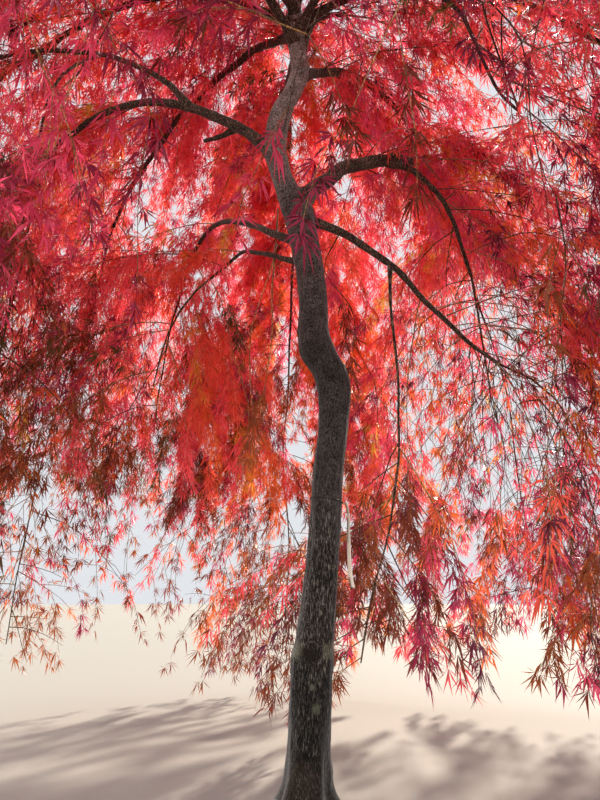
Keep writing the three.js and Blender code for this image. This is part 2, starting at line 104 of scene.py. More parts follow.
# %% Limbs: name, parent, where it starts, heading, reach, climb, two pitches, swing, two radii
LIMBS = [
    ["bough_left", "trunk", 2455, 166, 1125, 345, 50, -34, 6, 27, 13],
    ["bough_left_fall", "bough_left", 1, 165, 130, -720, -50, -86, 0, 11, 6],
    ["bough_left_high", "bough_left", 0.42, 194, 860, 70, 60, -38, -10, 16, 8],
    ["bough_left_shoot", "bough_left_high", 0.55, 226, 240, -1280, -52, -76, 10, 7, 4],
    ["bough_back_left", "trunk", 2010, 129, 1090, 350, 36, -46, 14, 18, 9],
    ["bough_back_left_low", "trunk", 1915, 134, 640, 240, 26, -10, 14, 13, 7],
    ["bough_right", "trunk", 2195, 24, 610, 460, 56, 12, 8, 38, 27],
    ["bough_right_fall", "bough_right", 0.86, 26, 470, -520, 4, -72, -12, 17, 8],
    ["bough_low_right", "trunk", 2150, 25, 1060, -505, -6, -14, -10, 19, 8],
    ["bough_hanging", "bough_low_right", 0.38, 118, 210, -1340, -84, -62, -20, 7, 3.5],
    ["stem_right", "trunk", 3040, 32, 300, 500, 74, 22, 14, 17, 12],
    ["stem_left", "trunk", 3370, 205, 440, 150, 52, 4, -8, 16, 11],
    ["stem_front", "trunk", 3380, 312, 420, 120, 50, 0, 10, 15, 10],
    ["rib_right", "trunk", 3240, 356, 1270, -80, 36, -40, -8, 22, 13],
    ["rib_right_fall", "rib_right", 1, 358, 450, -820, -40, -76, 0, 12, 7],
    ["bough_right_high", "rib_right", 0.36, 312, 530, -1180, -30, -62, 24, 12, 5],
    ["rib_back_right", "trunk", 2950, 47, 1250, 190, 44, -38, -10, 22, 13],
    ["rib_back_right_fall", "rib_back_right", 1, 46, 450, -800, -40, -76, 6, 12, 7],
    ["rib_back", "trunk", 3090, 92, 1290, 60, 38, -38, 10, 22, 13],
    ["rib_back_fall", "rib_back", 1, 93, 450, -860, -40, -76, -6, 12, 7],
    ["rib_back_left", "trunk", 3200, 138, 1280, -50, 36, -40, -8, 22, 13],
    ["rib_back_left_fall", "rib_back_left", 1, 137, 450, -820, -40, -76, 6, 12, 7],
    ["rib_left", "trunk", 3250, 177, 1270, -90, 34, -40, 8, 20, 12],
    ["rib_left_fall", "rib_left", 1, 178, 450, -760, -40, -76, 0, 11, 7],
    ["rib_front_left", "trunk", 3120, 219, 1270, 20, 40, -40, 10, 21, 12],
    ["rib_front_left_fall", "rib_front_left", 1, 220, 450, -800, -40, -76, 0, 11, 7],
    ["rib_front", "trunk", 3300, 268, 1280, -120, 32, -34, -10, 20, 12],
    ["rib_front_fall", "rib_front", 1, 268, 640, -800, -34, -72, 0, 11, 7],
    ["rib_front_right", "trunk", 3190, 322, 930, -110, 48, -60, -12, 21, 13],
    ["rib_front_right_fall", "rib_front_right", 1, 322, 560, -760, -46, -76, 0, 12, 7],
]
RING_SPACING = 0.2
LIMB_STEPS = 6
SPRING = 1.25  # how far a limb's curve swings out before it turns
JOG = 0.007
TAPER = 0.8
LIMB_SEED = 100
print(len(LIMBS), "limbs")

# %% Masses of foliage: name, limb at whose tip the stem starts, heading, pitch, stem length
MASSES = [
    ["foliage_top", "trunk", 84, 30, 1050],
    ["foliage_top_right", "stem_right", 22, 18, 900],
    ["foliage_top_left", "stem_left", 160, 14, 1000],
    ["foliage_top_front", "stem_front", 262, 16, 900],
    ["foliage_shoulder_right", "rib_right", 358, -8, 820],
    ["foliage_shoulder_back_right", "rib_back_right", 46, -8, 820],
    ["foliage_shoulder_back", "rib_back", 92, -8, 820],
    ["foliage_shoulder_back_left", "rib_back_left", 138, -8, 820],
    ["foliage_shoulder_left", "rib_left", 178, -8, 820],
    ["foliage_shoulder_front_left", "rib_front_left", 220, -8, 820],
    ["foliage_shoulder_front", "rib_front", 268, -8, 820],
    ["foliage_shoulder_front_right", "rib_front_right", 322, 8, 1050],
    ["foliage_curtain_right", "rib_right_fall", 358, -56, 1950],
    ["foliage_curtain_back_right", "rib_back_right_fall", 46, -56, 1850],
    ["foliage_curtain_back", "rib_back_fall", 92, -56, 2150],
    ["foliage_curtain_back_left", "rib_back_left_fall", 138, -56, 2050],
    ["foliage_curtain_left", "rib_left_fall", 178, -56, 1750],
    ["foliage_curtain_front_left", "rib_front_left_fall", 220, -56, 1700],
    ["foliage_curtain_front", "rib_front_fall", 268, -60, 1650],
    ["foliage_curtain_front_right", "rib_front_right_fall", 322, -50, 1800],
    ["foliage_left_fall", "bough_left_fall", 140, -80, 700],
    ["foliage_left_high", "bough_left_high", 196, -20, 620],
    ["foliage_left_shoot", "bough_left_shoot", 250, -80, 450],
    ["foliage_back_left", "bough_back_left", 120, -46, 900],
    ["foliage_back_left_low", "bough_back_left_low", 158, -30, 700],
    ["foliage_right_fall", "bough_right_fall", 66, -44, 760],
    ["foliage_low_right", "bough_low_right", 2, -26, 760],
    ["foliage_hanging", "bough_hanging", 110, -60, 340],
]
STEM_STEP = 0.15
STEM_BEND = 0.32
STEM_WANDER = 0.16
STEM_SEED = 700
print(len(MASSES), "masses of foliage")

# %% [markdown]
# ## The tree's own rule of growth
#
# A seeded number generator makes each limb's small jogs. It is the CAD model's own, so that it gives the
# same jogs here. Each limb is a smooth curve that leaves its parent at one pitch and arrives at another.

# %% Seeded numbers and directions
def seeded(seed):
    """Mulberry: the same numbers from the same seed."""
    state = seed & 0xFFFFFFFF

    def draw():
        nonlocal state
        state = (state + 0x6D2B79F5) & 0xFFFFFFFF
        n = ((state ^ (state >> 15)) * (state | 1)) & 0xFFFFFFFF
        stirred = ((n ^ (n >> 7)) * (n | 61)) & 0xFFFFFFFF
        n = ((n + stirred) & 0xFFFFFFFF) ^ n
        return (n ^ (n >> 14)) / 4294967296

    return draw


def pointing(heading, pitch):
    level = math.cos(math.radians(pitch))
    turn = math.radians(heading)
    return np.array([level * math.cos(turn), level * math.sin(turn), math.sin(math.radians(pitch))])


def on_curve(t, start, leave, end, arrive):
    """A point on the smooth curve that leaves its start one way and arrives at its end another way."""
    point = (2 * t**3 - 3 * t**2 + 1) * start + (t**3 - 2 * t**2 + t) * leave
    return point + (3 * t**2 - 2 * t**3) * end + (t**3 - t**2) * arrive


def smooth_row(table, place):
    """A table's row at a place between its rows, on a smooth curve through them."""
    i = int(np.clip(np.searchsorted(table[:, 0], place, side="right") - 1, 0, len(table) - 2))
    a, b, c, d = (table[min(len(table) - 1, max(0, k))] for k in (i - 1, i, i + 1, i + 2))
    span = c[0] - b[0]
    t = min(1.0, max(0.0, (place - b[0]) / span))
    return on_curve(t, b, (c - a) / (c[0] - a[0]) * span, c, (d - b) / (d[0] - b[0]) * span)


def trunk_middle(z):
    row = smooth_row(TRUNK, z)
    return np.array([row[1], row[2], z])


def trunk_radius(z):
    return smooth_row(TRUNK, z)[3]


print("trunk's middle at the kink", trunk_middle(1.48).round(3))

# %% Limbs as paths
limbs = {}


def share_of(path, share):
    place = max(0, share) * (len(path) - 1)
    i = min(len(path) - 2, int(place))
    return path[i] + (path[i + 1] - path[i]) * (place - i)


def grow_limb(index, name, parent, where, heading, reach, climb, pitch_butt, pitch_tip, swing, butt, tip):
    start = trunk_middle(where * MM) if parent == "trunk" else share_of(limbs[parent][0], where)
    end = start + pointing(heading, 0) * reach * MM + np.array([0, 0, climb * MM])
    length = np.linalg.norm(end - start) * SPRING
    leave = pointing(heading + swing, pitch_butt) * length
    arrive = pointing(heading - swing / 2, pitch_tip) * length
    steps = max(LIMB_STEPS, round(length / RING_SPACING))
    draw = seeded(LIMB_SEED + index)
    path, radii = [], []
    for i in range(steps + 1):
        t = i / steps
        point = on_curve(t, start, leave, end, arrive)
        jog = (np.array([draw(), draw(), draw()]) - 0.5) * 2 * JOG
        path.append(point + jog if 0 < i < steps else point)
        radii.append((butt + (tip - butt) * t**TAPER) * MM)
    limbs[name] = (np.array(path), np.array(radii), parent)


for index, row in enumerate(LIMBS):
    grow_limb(index, *row)
print(len(limbs), "limbs,", round(sum(len(path) for path, _, _ in limbs.values()) * RING_SPACING), "m in all")

# %% [markdown]
# ## Where twigs may grow
#
# The fall line gives a weeping tree its habit: growth runs level and outward over the top of the crown and
# straight down at the curtain. Twigs bend towards it as they grow.
# The crown's envelope, its lower hem and the parting at the front are the CAD model's.

# %% The fall line
FALL_HEIGHT = 1.9
FALL_REACH = 2.2
FALL_RISE = 1.7
FALL_CENTRE = 0.15
FALL_LEAST = 0.06
OUTWARD_RISE = 0.4


def unit(vectors):
    return vectors / np.maximum(np.linalg.norm(vectors, axis=-1, keepdims=True), 1e-9)


def length_of(path):
    return np.linalg.norm(np.diff(path, axis=0), axis=1).sum()


def outwards(points):
    """Away from the trunk and a little up."""
    return unit(np.column_stack([points[:, :2], np.full(len(points), OUTWARD_RISE)]))


def fall_line(points, headings):
    """The way growth falls at each point. Near the trunk it keeps its own heading."""
    level_distance = np.hypot(points[:, 0], points[:, 1])
    outward = np.where((level_distance > FALL_CENTRE)[:, None], unit(points[:, :2]), unit(headings[:, :2]))
    level = np.maximum(0, points[:, 2] - FALL_HEIGHT) / FALL_RISE**2
    drop = (level_distance + FALL_LEAST) / FALL_REACH**2
    return unit(np.column_stack([outward * level[:, None], -drop]))


print("growth falls straight down from", FALL_HEIGHT, "m")

# %% The crown's envelope
HEM_HEADINGS = [0, 45, 90, 135, 180, 225, 270, 315, 360]
HEM_HEIGHTS = np.array([260, 420, 70, 160, 560, 620, 480, 420, 260]) * MM
HOLLOW_DEPTH = 0.22


def hollows(points):
    """How far the envelope falls back between its swells, 0 to 1, as a real crown is never a smooth dome."""
    turn = np.arctan2(points[:, 1], points[:, 0])
    waves = np.sin(5 * turn + 1.2 * points[:, 2] + 0.6) + np.sin(8 * turn - 3.1 * points[:, 2])
    waves += np.sin(3.4 * points[:, 0] + 1.9) + np.sin(4.1 * points[:, 1] - 0.8)
    return np.clip(0.5 + waves / 5, 0, 1)


def in_crown(points, spare=0.0):
    """Inside the envelope, less `spare` all over, and above the hem."""
    level_distance = np.hypot(points[:, 0], points[:, 1])
    headings = np.degrees(np.arctan2(points[:, 1], points[:, 0])) % 360
    above_hem = points[:, 2] > np.interp(headings, HEM_HEADINGS, HEM_HEIGHTS) + spare
    room = spare + HOLLOW_DEPTH * hollows(points)
    up = np.clip((points[:, 2] - SHOULDER_HEIGHT) / (TREE_HEIGHT - room - SHOULDER_HEIGHT), 0, None)
    out = level_distance / (CROWN_RADIUS - room)
    return above_hem & (out**CROWN_FULLNESS + up**CROWN_FULLNESS < 1)


print("hem from", HEM_HEIGHTS.min(), "to", HEM_HEIGHTS.max(), "m above the ground")

# %% The parting
PARTING_EYE = np.array([-0.02, -2.1, 0.61])
PARTING_PITCH = 14
PARTING_HALF_WIDTH = 24
PARTING_HALF_HEIGHT = 33
PARTING_START = -0.03
PARTING_DEPTH = 2.04
PARTING_ROOM = 0.8
PARTING_LIPS = (31, 42, 1.75)  # half-width, upper height and depth: its edges are thinner than the CAD's


def bearings(points):
    """Degrees to the right of straight ahead and above level, from the parting's point."""
    rays = points - PARTING_EYE
    right = np.degrees(np.arctan2(rays[:, 0], rays[:, 1]))
    return right, np.degrees(np.arctan2(rays[:, 2], np.hypot(rays[:, 0], rays[:, 1])))


def in_parting(points):
    rays = points - PARTING_EYE
    away = np.linalg.norm(rays, axis=1)
    right, height = bearings(points)
    side = np.abs(right)
    cone = (side < PARTING_HALF_WIDTH) & (np.abs(height - PARTING_PITCH) < PARTING_HALF_HEIGHT)
    half_width, upper, depth = PARTING_LIPS
    lips = (side < half_width) & (height < upper) & (away < depth)
    return (rays[:, 1] > PARTING_START) & (rays[:, 1] < PARTING_DEPTH) & ((away < PARTING_ROOM) | cone | lips)


print("the parting is", 2 * PARTING_HALF_WIDTH, "degrees wide")

# %% Where the wood is
WOOD_STEP = 0.05  # the trunk is felt at points this far apart, and a limb at a few for each of its own
TRUNK_CLEARANCE = 0.03
POINTS_TO_A_RING = 4
POINTS_AT_A_TIME = 4000
wood_points = []
wood_radii = []
for z in np.arange(0, TRUNK_TOP, WOOD_STEP):
    wood_points.append(trunk_middle(z))
    wood_radii.append(trunk_radius(z) + TRUNK_CLEARANCE)
for path, radii, _ in limbs.values():
    for share in np.linspace(0, 1, POINTS_TO_A_RING * len(path)):
        wood_points.append(share_of(path, share))
        wood_radii.append(share_of(radii, share))
wood_points = np.array(wood_points)
wood_radii = np.array(wood_radii)


def near_wood(points, margin):
    """Whether each point is within `margin` of the trunk's or a limb's surface."""
    result = np.zeros(len(points), bool)
    for start in range(0, len(points), POINTS_AT_A_TIME):
        part = points[start:start + POINTS_AT_A_TIME]
        gaps = np.linalg.norm(part[:, None] - wood_points[None], axis=2) - wood_radii[None]
        result[start:start + POINTS_AT_A_TIME] = gaps.min(axis=1) < margin
    return result


print("wood is felt at", len(wood_points), "points")

# %% Stems of the masses, and every path that shoots may leave
def grow_stem(index, name, limb, heading, pitch, length):
    draw = seeded(STEM_SEED + index)
    start = trunk_middle(TRUNK_TOP) if limb == "trunk" else limbs[limb][0][-1]
    path = [start]
    direction = pointing(heading, pitch)
    steps = round(length * MM / STEM_STEP)
    for _ in range(steps):
        path.append(path[-1] + direction * length * MM / steps)
        fall = fall_line(path[-1][None], pointing(heading, 0)[None])[0]
        direction = direction * (1 - STEM_BEND) + fall * STEM_BEND
        direction[0] += STEM_WANDER * (draw() - 0.5)
        direction[1] += STEM_WANDER * (draw() - 0.5)
        direction = direction / np.linalg.norm(direction)
    return np.array(path)


stems = {row[0]: grow_stem(index, *row) for index, row in enumerate(MASSES)}
print("stems", round(sum(row[4] for row in MASSES) * MM, 1), "m in all")

# %% [markdown]
# ## Shoots and twigs
#
# On a weeping maple slender shoots leave each limb in opposite pairs, arch over and hang, and side twigs
# leave them in the same way. All shoots grow here together, one short step at a time, as rows of an array:
# each step bends a little more along the fall line, with a little chance in it. A shoot stops where it would
# leave the crown or enter the parting.
# Particles or instances could carry twigs too, but they aren't kept when the model is exported, so twigs and
# leaves are made as real meshes.

# %% Growing many shoots at once
GROWTH_SEED = 27
dice = np.random.default_rng(GROWTH_SEED)
LEAF_ROOM = 0.05  # twigs stop this far inside the envelope, so that leaves stay in it


def turned(vectors, axes, angles):
    """Each vector turned round its own unit axis."""
    c = np.cos(angles)[:, None]
    s = np.sin(angles)[:, None]
    along = np.sum(vectors * axes, axis=1, keepdims=True)
    return vectors * c + np.cross(axes, vectors) * s + axes * along * (1 - c)


def grow(roots, directions, lengths, step, bend, wander, droop, may_cross=None):
    """Paths of equal step count, with how many of each path's points are in the crown.
    Those in `may_cross` may grow into the parting."""
    steps = int(np.ceil(lengths.max() / step))
    paths = np.zeros((len(roots), steps + 1, 3))
    paths[:, 0] = roots
    counts = np.ones(len(roots), int)
    growing = np.ones(len(roots), bool)
    headings = directions.copy()
    for k in range(1, steps + 1):
        fall = fall_line(paths[:, k - 1], headings)
        directions = directions * (1 - bend) + fall * bend
        directions = directions + dice.normal(0, wander, directions.shape)
        directions[:, 2] -= droop
        directions = unit(directions)
        paths[:, k] = paths[:, k - 1] + directions * step
        clear = ~in_parting(paths[:, k]) if may_cross is None else ~in_parting(paths[:, k]) | may_cross
        allowed = in_crown(paths[:, k], LEAF_ROOM) & clear & (k * step <= lengths)
        growing = growing & allowed
        counts += growing
    return paths, counts


print("twigs stop", LEAF_ROOM, "m inside the envelope")

# %% Shoots on the limbs and stems
SHOOT_SPACING = 0.058
INNER_SPACING = 0.13
SHOOT_LENGTH = (0.4, 1.9)
SHOOT_ANGLE = (12, 98)
SHOOT_STEP = 0.075
ARCH = 0.75  # shoots from the high limbs first rise, then arch over and hang
ARCH_FROM = 2.3  # height
TANGENT_REACH = 0.05  # share of a limb's length
# share of a limb's length from which it carries shoots
BARE_SHARE = {"rib": 0.04, "stem": 0.04, "bough": 0.55, "foliage": 0.0}


def bare_share(name):
    if name.endswith("_fall"):
        return 0.0
    return BARE_SHARE[name.split("_")[0]]


def shoot_roots(path, first_share, spacing):
    count = max(1, round(length_of(path) * (1 - first_share) / spacing))
    places = (np.arange(count) + dice.uniform(0.1, 0.9, count)) / count
    shares = first_share + (1 - first_share) * places
    roots = np.array([share_of(path, share) for share in shares])
    ahead = np.array([share_of(path, min(1, share + TANGENT_REACH)) for share in shares])
    behind = np.array([share_of(path, share - TANGENT_REACH) for share in shares])
    sides = np.where(np.arange(count) % 2 == 0, 1.0, -1.0)
    return roots, unit(ahead - behind), sides


INNER_LIMBS = ("bough_left", "bough_back_left", "foliage_left_", "foliage_back_left")  # inside the umbrella
found = []
for name, path in [(name, limb[0]) for name, limb in limbs.items()] + list(stems.items()):
    spacing = INNER_SPACING if name.startswith(INNER_LIMBS) else SHOOT_SPACING
    found.append(shoot_roots(path, bare_share(name), spacing))
roots, tangents, sides = (np.concatenate(part) for part in zip(*found))
print(len(roots), "places for shoots")

# %% [markdown]
# A real shoot that starts into shade gives up, and one that finds light goes on. So each place tries several
# shoots, as the CAD model's rule does for its sprays, and keeps the one that meets the fewest others.
# The crown is kept in mind as cubes, with the number of steps that shoots have made in each. Places are
# taken in rounds, so that the later ones know of the earlier ones.

# %% How crowded the crown is, and how deep in it a point lies
CUBE = 0.24
CUBES = (24, 24, 18)
CUBES_START = [2.88, 2.88, 0]  # this far before the origin
crowding = np.zeros(CUBES)


def cubes_of(points):
    places = np.floor((points + CUBES_START) / CUBE).astype(int)
    return tuple(np.clip(places[..., k], 0, CUBES[k] - 1) for k in range(3))


def depth_in_crown(points):
    """1 at the crown's envelope, and less inside it."""
    up = np.clip((points[..., 2] - SHOULDER_HEIGHT) / (TREE_HEIGHT - SHOULDER_HEIGHT), 0, None)
    out = np.hypot(points[..., 0], points[..., 1]) / CROWN_RADIUS
    return (out**CROWN_FULLNESS + up**CROWN_FULLNESS) ** (1 / CROWN_FULLNESS)


print("crowding is counted in", crowding.size, "cubes")

# %% The best of several tries
ROUNDS = 24
TRIES = 12
SHOOT_BEND = 0.08
SHOOT_WANDER = 0.05
SHOOT_LEAN = 0.8  # how far a shoot may lean outwards
SHOOT_LEAN_BACK = 0.4
OTHER_SIDE_EVERY = 4  # every fourth try is on the other side
INNER_DEPTH = 0.72
INNER_SHADE = 5.0  # what a step inside the umbrella costs, where the real crown is bare
LENGTH_WORTH = 1.2  # what a metre of shoot is worth
FEWEST_STEPS = 5
HOPELESS = 1000  # the cost of a shoot that is too short
CLEAR_AT_STEP = 3  # by here a shoot has left its limb's bark behind
CLEAR_OF_WOOD = 0.01
END_HEIGHTS = [0.4, 1.0, 1.5, 2.0]  # low in the curtain shoots end one by one, so that its hem is loose
END_CHANCES = [0.3, 0.16, 0.07, 0.0]  # at each step
MOST_STEPS = int(np.ceil(SHOOT_LENGTH[1] / SHOOT_STEP)) + 1
kept_paths, kept_counts = [], []
order = dice.permutation(len(roots))
for turn in range(ROUNDS):
    chosen = np.repeat(order[turn::ROUNDS], TRIES)
    outward = outwards(roots[chosen])
    angles = np.radians(dice.uniform(*SHOOT_ANGLE, len(chosen))) * sides[chosen]
    angles[OTHER_SIDE_EVERY - 1::OTHER_SIDE_EVERY] *= -1
    directions = turned(tangents[chosen], outward, angles)
    directions += outward * SHOOT_LEAN * (dice.random(len(chosen)) - SHOOT_LEAN_BACK)[:, None]
    directions[:, 2] += ARCH * dice.random(len(chosen)) * np.clip(roots[chosen, 2] - ARCH_FROM, 0, 1)
    lengths = dice.uniform(*SHOOT_LENGTH, len(chosen))
    directions = unit(directions)
    paths, counts = grow(roots[chosen], directions, lengths, SHOOT_STEP, SHOOT_BEND, SHOOT_WANDER, 0.0)
    made = np.arange(paths.shape[1])[None] < counts[:, None]
    cost = crowding[cubes_of(paths)] + INNER_SHADE * (depth_in_crown(paths) < INNER_DEPTH)
    cost = (cost * made).sum(axis=1) / counts - LENGTH_WORTH * counts * SHOOT_STEP
    cost[counts < FEWEST_STEPS] = HOPELESS
    best = cost.reshape(-1, TRIES).argmin(axis=1) + np.arange(len(chosen) // TRIES) * TRIES
    best = best[cost[best] < HOPELESS]
    best = best[~near_wood(paths[best, CLEAR_AT_STEP], CLEAR_OF_WOOD)]
    ends = dice.random(paths[best].shape[:2]) < np.interp(paths[best, :, 2], END_HEIGHTS, END_CHANCES)
    ends[:, :FEWEST_STEPS - 1] = False
    counts[best] = np.minimum(counts[best], np.where(ends.any(axis=1), ends.argmax(axis=1), HOPELESS))
    kept = np.zeros((len(best), MOST_STEPS, 3))
    kept[:, :paths.shape[1]] = paths[best]
    kept_paths.append(kept)
    kept_counts.append(counts[best])
    np.add.at(crowding, cubes_of(paths[best][made[best]]), 1)
grown = sum(len(paths) for paths in kept_paths)
print(grown, "shoots,", round(sum(counts.sum() for counts in kept_counts) * SHOOT_STEP), "m in all")

# %% [markdown]
# Some shoots stand out from under the crown, such as the bare ones that hang beside the trunk and the near
# ones at the right. They are given by where they show in the picture and how deep they lie in the crown.
# A place in the picture and a depth make a point in the crown through the camera, which is set here.
# Each of these shoots starts at the nearest wood.

# %% The camera's eye
CAMERA_PLACE = PARTING_EYE  # the crown parts towards the camera
CAMERA_PITCH = 18.6  # degrees up from level
LENS = 26
SENSOR_HEIGHT = 36
PICTURE = (600, 800)  # pixels


def seen_at(u, v, depth):
    """The point at y = depth that shows at a pixel."""
    focal = LENS / SENSOR_HEIGHT * PICTURE[1]
    right, up = (u - PICTURE[0] / 2) / focal, (PICTURE[1] / 2 - v) / focal
    c, s = math.cos(math.radians(CAMERA_PITCH)), math.sin(math.radians(CAMERA_PITCH))
    ray = np.array([right, c - up * s, s + up * c])
    return CAMERA_PLACE + ray * (depth - CAMERA_PLACE[1]) / ray[1]


def seen_path(first, last, pixels):
    """The points that show at these pixels, from the first depth to the last."""
    depths = np.linspace(first, last, len(pixels))
    return np.array([seen_at(u, v, depth) for (u, v), depth in zip(pixels, depths)])


print("at the trunk, the middle of the picture is at", seen_at(300, 400, 0).round(2))

# %% Shoots by their places in the picture
SEEN_SHOOTS = {  # depth at the start and at the end, radius in mm, share of side twigs, then the pixels
    "right_edge": (-0.75, -0.8, 5, 0.5, [(482, 0), (516, 31), (528, 76), (530, 115), (543, 172), (556, 197)]),
    "right_edge_end": (-0.8, -0.7, 3, 0.8, [(556, 197), (566, 260), (560, 330), (570, 400), (562, 460)]),
    "left_edge": (-0.3, -0.4, 4, 0.4, [(76, 76), (59, 113), (40, 168), (6, 216), (15, 300)]),
    "top_left": (-0.5, -0.3, 5, 0.4, [(113, 11), (82, 21), (48, 52), (0, 66)]),
    "beside_trunk": (0.25, 0.3, 3.5, 0.2, [(324, 270), (352, 309), (357, 348), (375, 384), (378, 430)]),
    "left_of_trunk": (
        0.1, 0.2, 4, 0.1, [(278, 208), (275, 254), (263, 292), (251, 332), (251, 399), (257, 430)]),
    "left_of_trunk_low": (0.15, 0.2, 4.5, 0.1, [(275, 250), (272, 290), (272, 338), (266, 379), (262, 420)]),
    "over_trunk": (0.2, 0.3, 3, 0.3, [(373, 157), (384, 134), (408, 128), (432, 142), (446, 160)]),
    "right_first": (0.3, 0.35, 3.5, 0.5, [(443, 203), (462, 186), (486, 192), (503, 218), (516, 256)]),
    "low_right_first": (0.35, 0.3, 3.5, 0.5, [(468, 350), (475, 388), (470, 430), (478, 470)]),
    "low_right_second": (0.4, 0.3, 3.5, 0.6, [(489, 361), (491, 401), (505, 450), (500, 500), (508, 560)]),
    "low_right_spray": (
        0.3, -0.1, 4, 1.0, [(499, 365), (528, 420), (548, 490), (560, 560), (572, 640), (566, 690)]),
    "low_right_edge": (0.2, -0.2, 4, 1.0, [(540, 400), (580, 470), (600, 550), (590, 620), (600, 680)]),
    "sunlit": (0.0, 0.1, 4, 0.2, [(345, 12), (362, 59), (355, 90), (362, 120)]),
    "top_left_inner": (0.5, 0.6, 3, 1.0, [(268, 48), (240, 62), (214, 78), (198, 104)]),
    "above_fork": (0.5, 0.7, 3, 1.0, [(262, 150), (240, 160), (226, 184), (216, 214)]),
    "beside_fork": (0.5, 0.7, 3, 1.0, [(352, 176), (346, 200), (338, 226), (334, 262)]),
    "under_right": (0.6, 0.9, 3, 1.0, [(398, 176), (386, 196), (366, 214), (356, 244)]),
    "near_top": (-1.0, -0.95, 3, 0.55, [(352, -90), (330, -20), (300, 60), (284, 130)]),
    "near_fork": (-1.0, -0.95, 3, 0.45, [(430, -60), (392, 20), (352, 110), (330, 175)]),
    "near_left": (-1.05, -0.9, 3, 0.9, [(60, -60), (100, 20), (140, 90), (165, 140)]),
    "near_corner": (-0.9, -0.8, 3, 0.5, [(20, -30), (40, 60), (70, 130), (80, 190)]),
}
print(len(SEEN_SHOOTS), "shoots by their places")

# %% These shoots, joined to the nearest wood
SHOOT_RADIUS_MM = 3.4
TOUCHING = 0.03  # a route that starts this near to wood needs no link to it
wood = np.concatenate([path for path, _, _ in limbs.values()] + list(stems.values()))
for name, (first, last, _, _, pixels) in SEEN_SHOOTS.items():
    route = seen_path(first, last, pixels)
    nearest = wood[np.linalg.norm(wood - route[0], axis=1).argmin()]
    if np.linalg.norm(nearest - route[0]) > TOUCHING:
        route = np.vstack([nearest, route])
    gone = np.concatenate([[0], np.cumsum(np.linalg.norm(np.diff(route, axis=0), axis=1))])
    count = min(MOST_STEPS, round(gone[-1] / SHOOT_STEP)) + 1
    table = np.column_stack([gone, route])
    path = np.zeros((1, MOST_STEPS, 3))
    path[0, :count] = [smooth_row(table, place)[1:] for place in np.linspace(0, gone[-1], count)]
    wood = np.concatenate([wood, path[0, :count]])
    kept_paths.append(path)
    kept_counts.append(np.array([count]))
    print(name, round(gone[-1], 2), "m")
shoots = np.concatenate(kept_paths)
shoot_counts = np.concatenate(kept_counts)
is_seen = np.arange(len(shoots)) >= grown
shoot_radii = np.full(len(shoots), SHOOT_RADIUS_MM) * MM
shoot_radii[grown:] = [row[2] * MM for row in SEEN_SHOOTS.values()]
twig_share = np.ones(len(shoots))
twig_share[grown:] = [row[3] for row in SEEN_SHOOTS.values()]

# %% Fuller places, and no clumps
FULLER_PLACES = [  # heading right of straight ahead, height, half-width, half-height, share of pairs doubled
    [-2, 24, 10, 17, 0.7],
    [-2, 48, 14, 9, 0.1],
    [8, 0, 5, 8, 0.8],
]
CELLS_IN_A_ROW = 4000  # more than the crown has, so that each cell gets a number of its own


def fuller_shares(points):
    """The share of leaf pairs that are doubled at each point, where the crown lets no light through."""
    right, height = bearings(points)
    shares = np.zeros(len(points))
    for heading, pitch, half_width, half_height, share in FULLER_PLACES:
        inside = (np.abs(right - heading) < half_width) & (np.abs(height - pitch) < half_height)
        shares = np.maximum(shares, inside * share)
    return shares * (points[:, 1] > PARTING_START)


def evened_out(points, cell, most):
    """Keeps at most so many points, taken by chance, in each cell of the crown, so that nothing clumps."""
    order = dice.permutation(len(points))
    cells = np.floor(points[order] / cell).astype(int) + CELLS_IN_A_ROW // 4
    keys = (cells[:, 0] * CELLS_IN_A_ROW + cells[:, 1]) * CELLS_IN_A_ROW + cells[:, 2]
    by_key = np.argsort(keys, kind="stable")
    sorted_keys = keys[by_key]
    starts = np.searchsorted(sorted_keys, sorted_keys, side="left")
    rank = np.arange(len(keys)) - starts
    keep = np.zeros(len(points), bool)
    keep[order[by_key[rank < most]]] = True
    return keep


print(len(FULLER_PLACES), "fuller places")

# %% Side twigs on the shoots
TWIG_LENGTH = (0.2, 0.62)
TWIG_STEP = 0.045
TWIG_ANGLE = (30, 70)
TWIG_SCATTER = 0.45
TWIG_BEND = 0.09
TWIG_WANDER = 0.06
TWIG_DROOP = 0.05
TWIG_SHORTENING = (1.1, 0.3)  # twigs are shorter towards a shoot's tip
CELL = 0.144
MOST_IN_A_CELL = 2
FULLNESS_HEIGHTS = [0.3, 0.9, 1.5, 2.1]  # the curtain hangs in ever looser tips towards its hem
FULLNESS = [0.6, 0.6, 0.75, 1.0]


def middles_of(paths, counts):
    return paths[np.arange(len(paths)), counts // 2]


def steps_of(paths, counts):
    """The path and the step of every point after a path's first."""
    rows, steps = np.nonzero(np.arange(paths.shape[1])[None] < counts[:, None])
    return rows[steps >= 1], steps[steps >= 1]


def side_twigs(paths, counts):
    """A side twig at every step of each shoot after its first, left and right in turn."""
    rows, steps = steps_of(paths, counts)
    last = np.minimum(steps + 1, counts[rows] - 1)
    tangents = unit(paths[rows, last] - paths[rows, steps - 1])
    outward = outwards(paths[rows, steps])
    axes = unit(outward + TWIG_SCATTER * dice.normal(0, 1, outward.shape))
    sides = np.where((steps + rows) % 2 == 0, 1.0, -1.0)
    angles = np.radians(dice.uniform(*TWIG_ANGLE, len(rows))) * sides
    directions = turned(tangents, axes, angles)
    at_tip = steps == counts[rows] - 1
    directions[at_tip] = tangents[at_tip]
    longest, lost = TWIG_SHORTENING
    lengths = dice.uniform(*TWIG_LENGTH, len(rows)) * (longest - lost * steps / counts[rows])
    return rows, paths[rows, steps], unit(directions), lengths


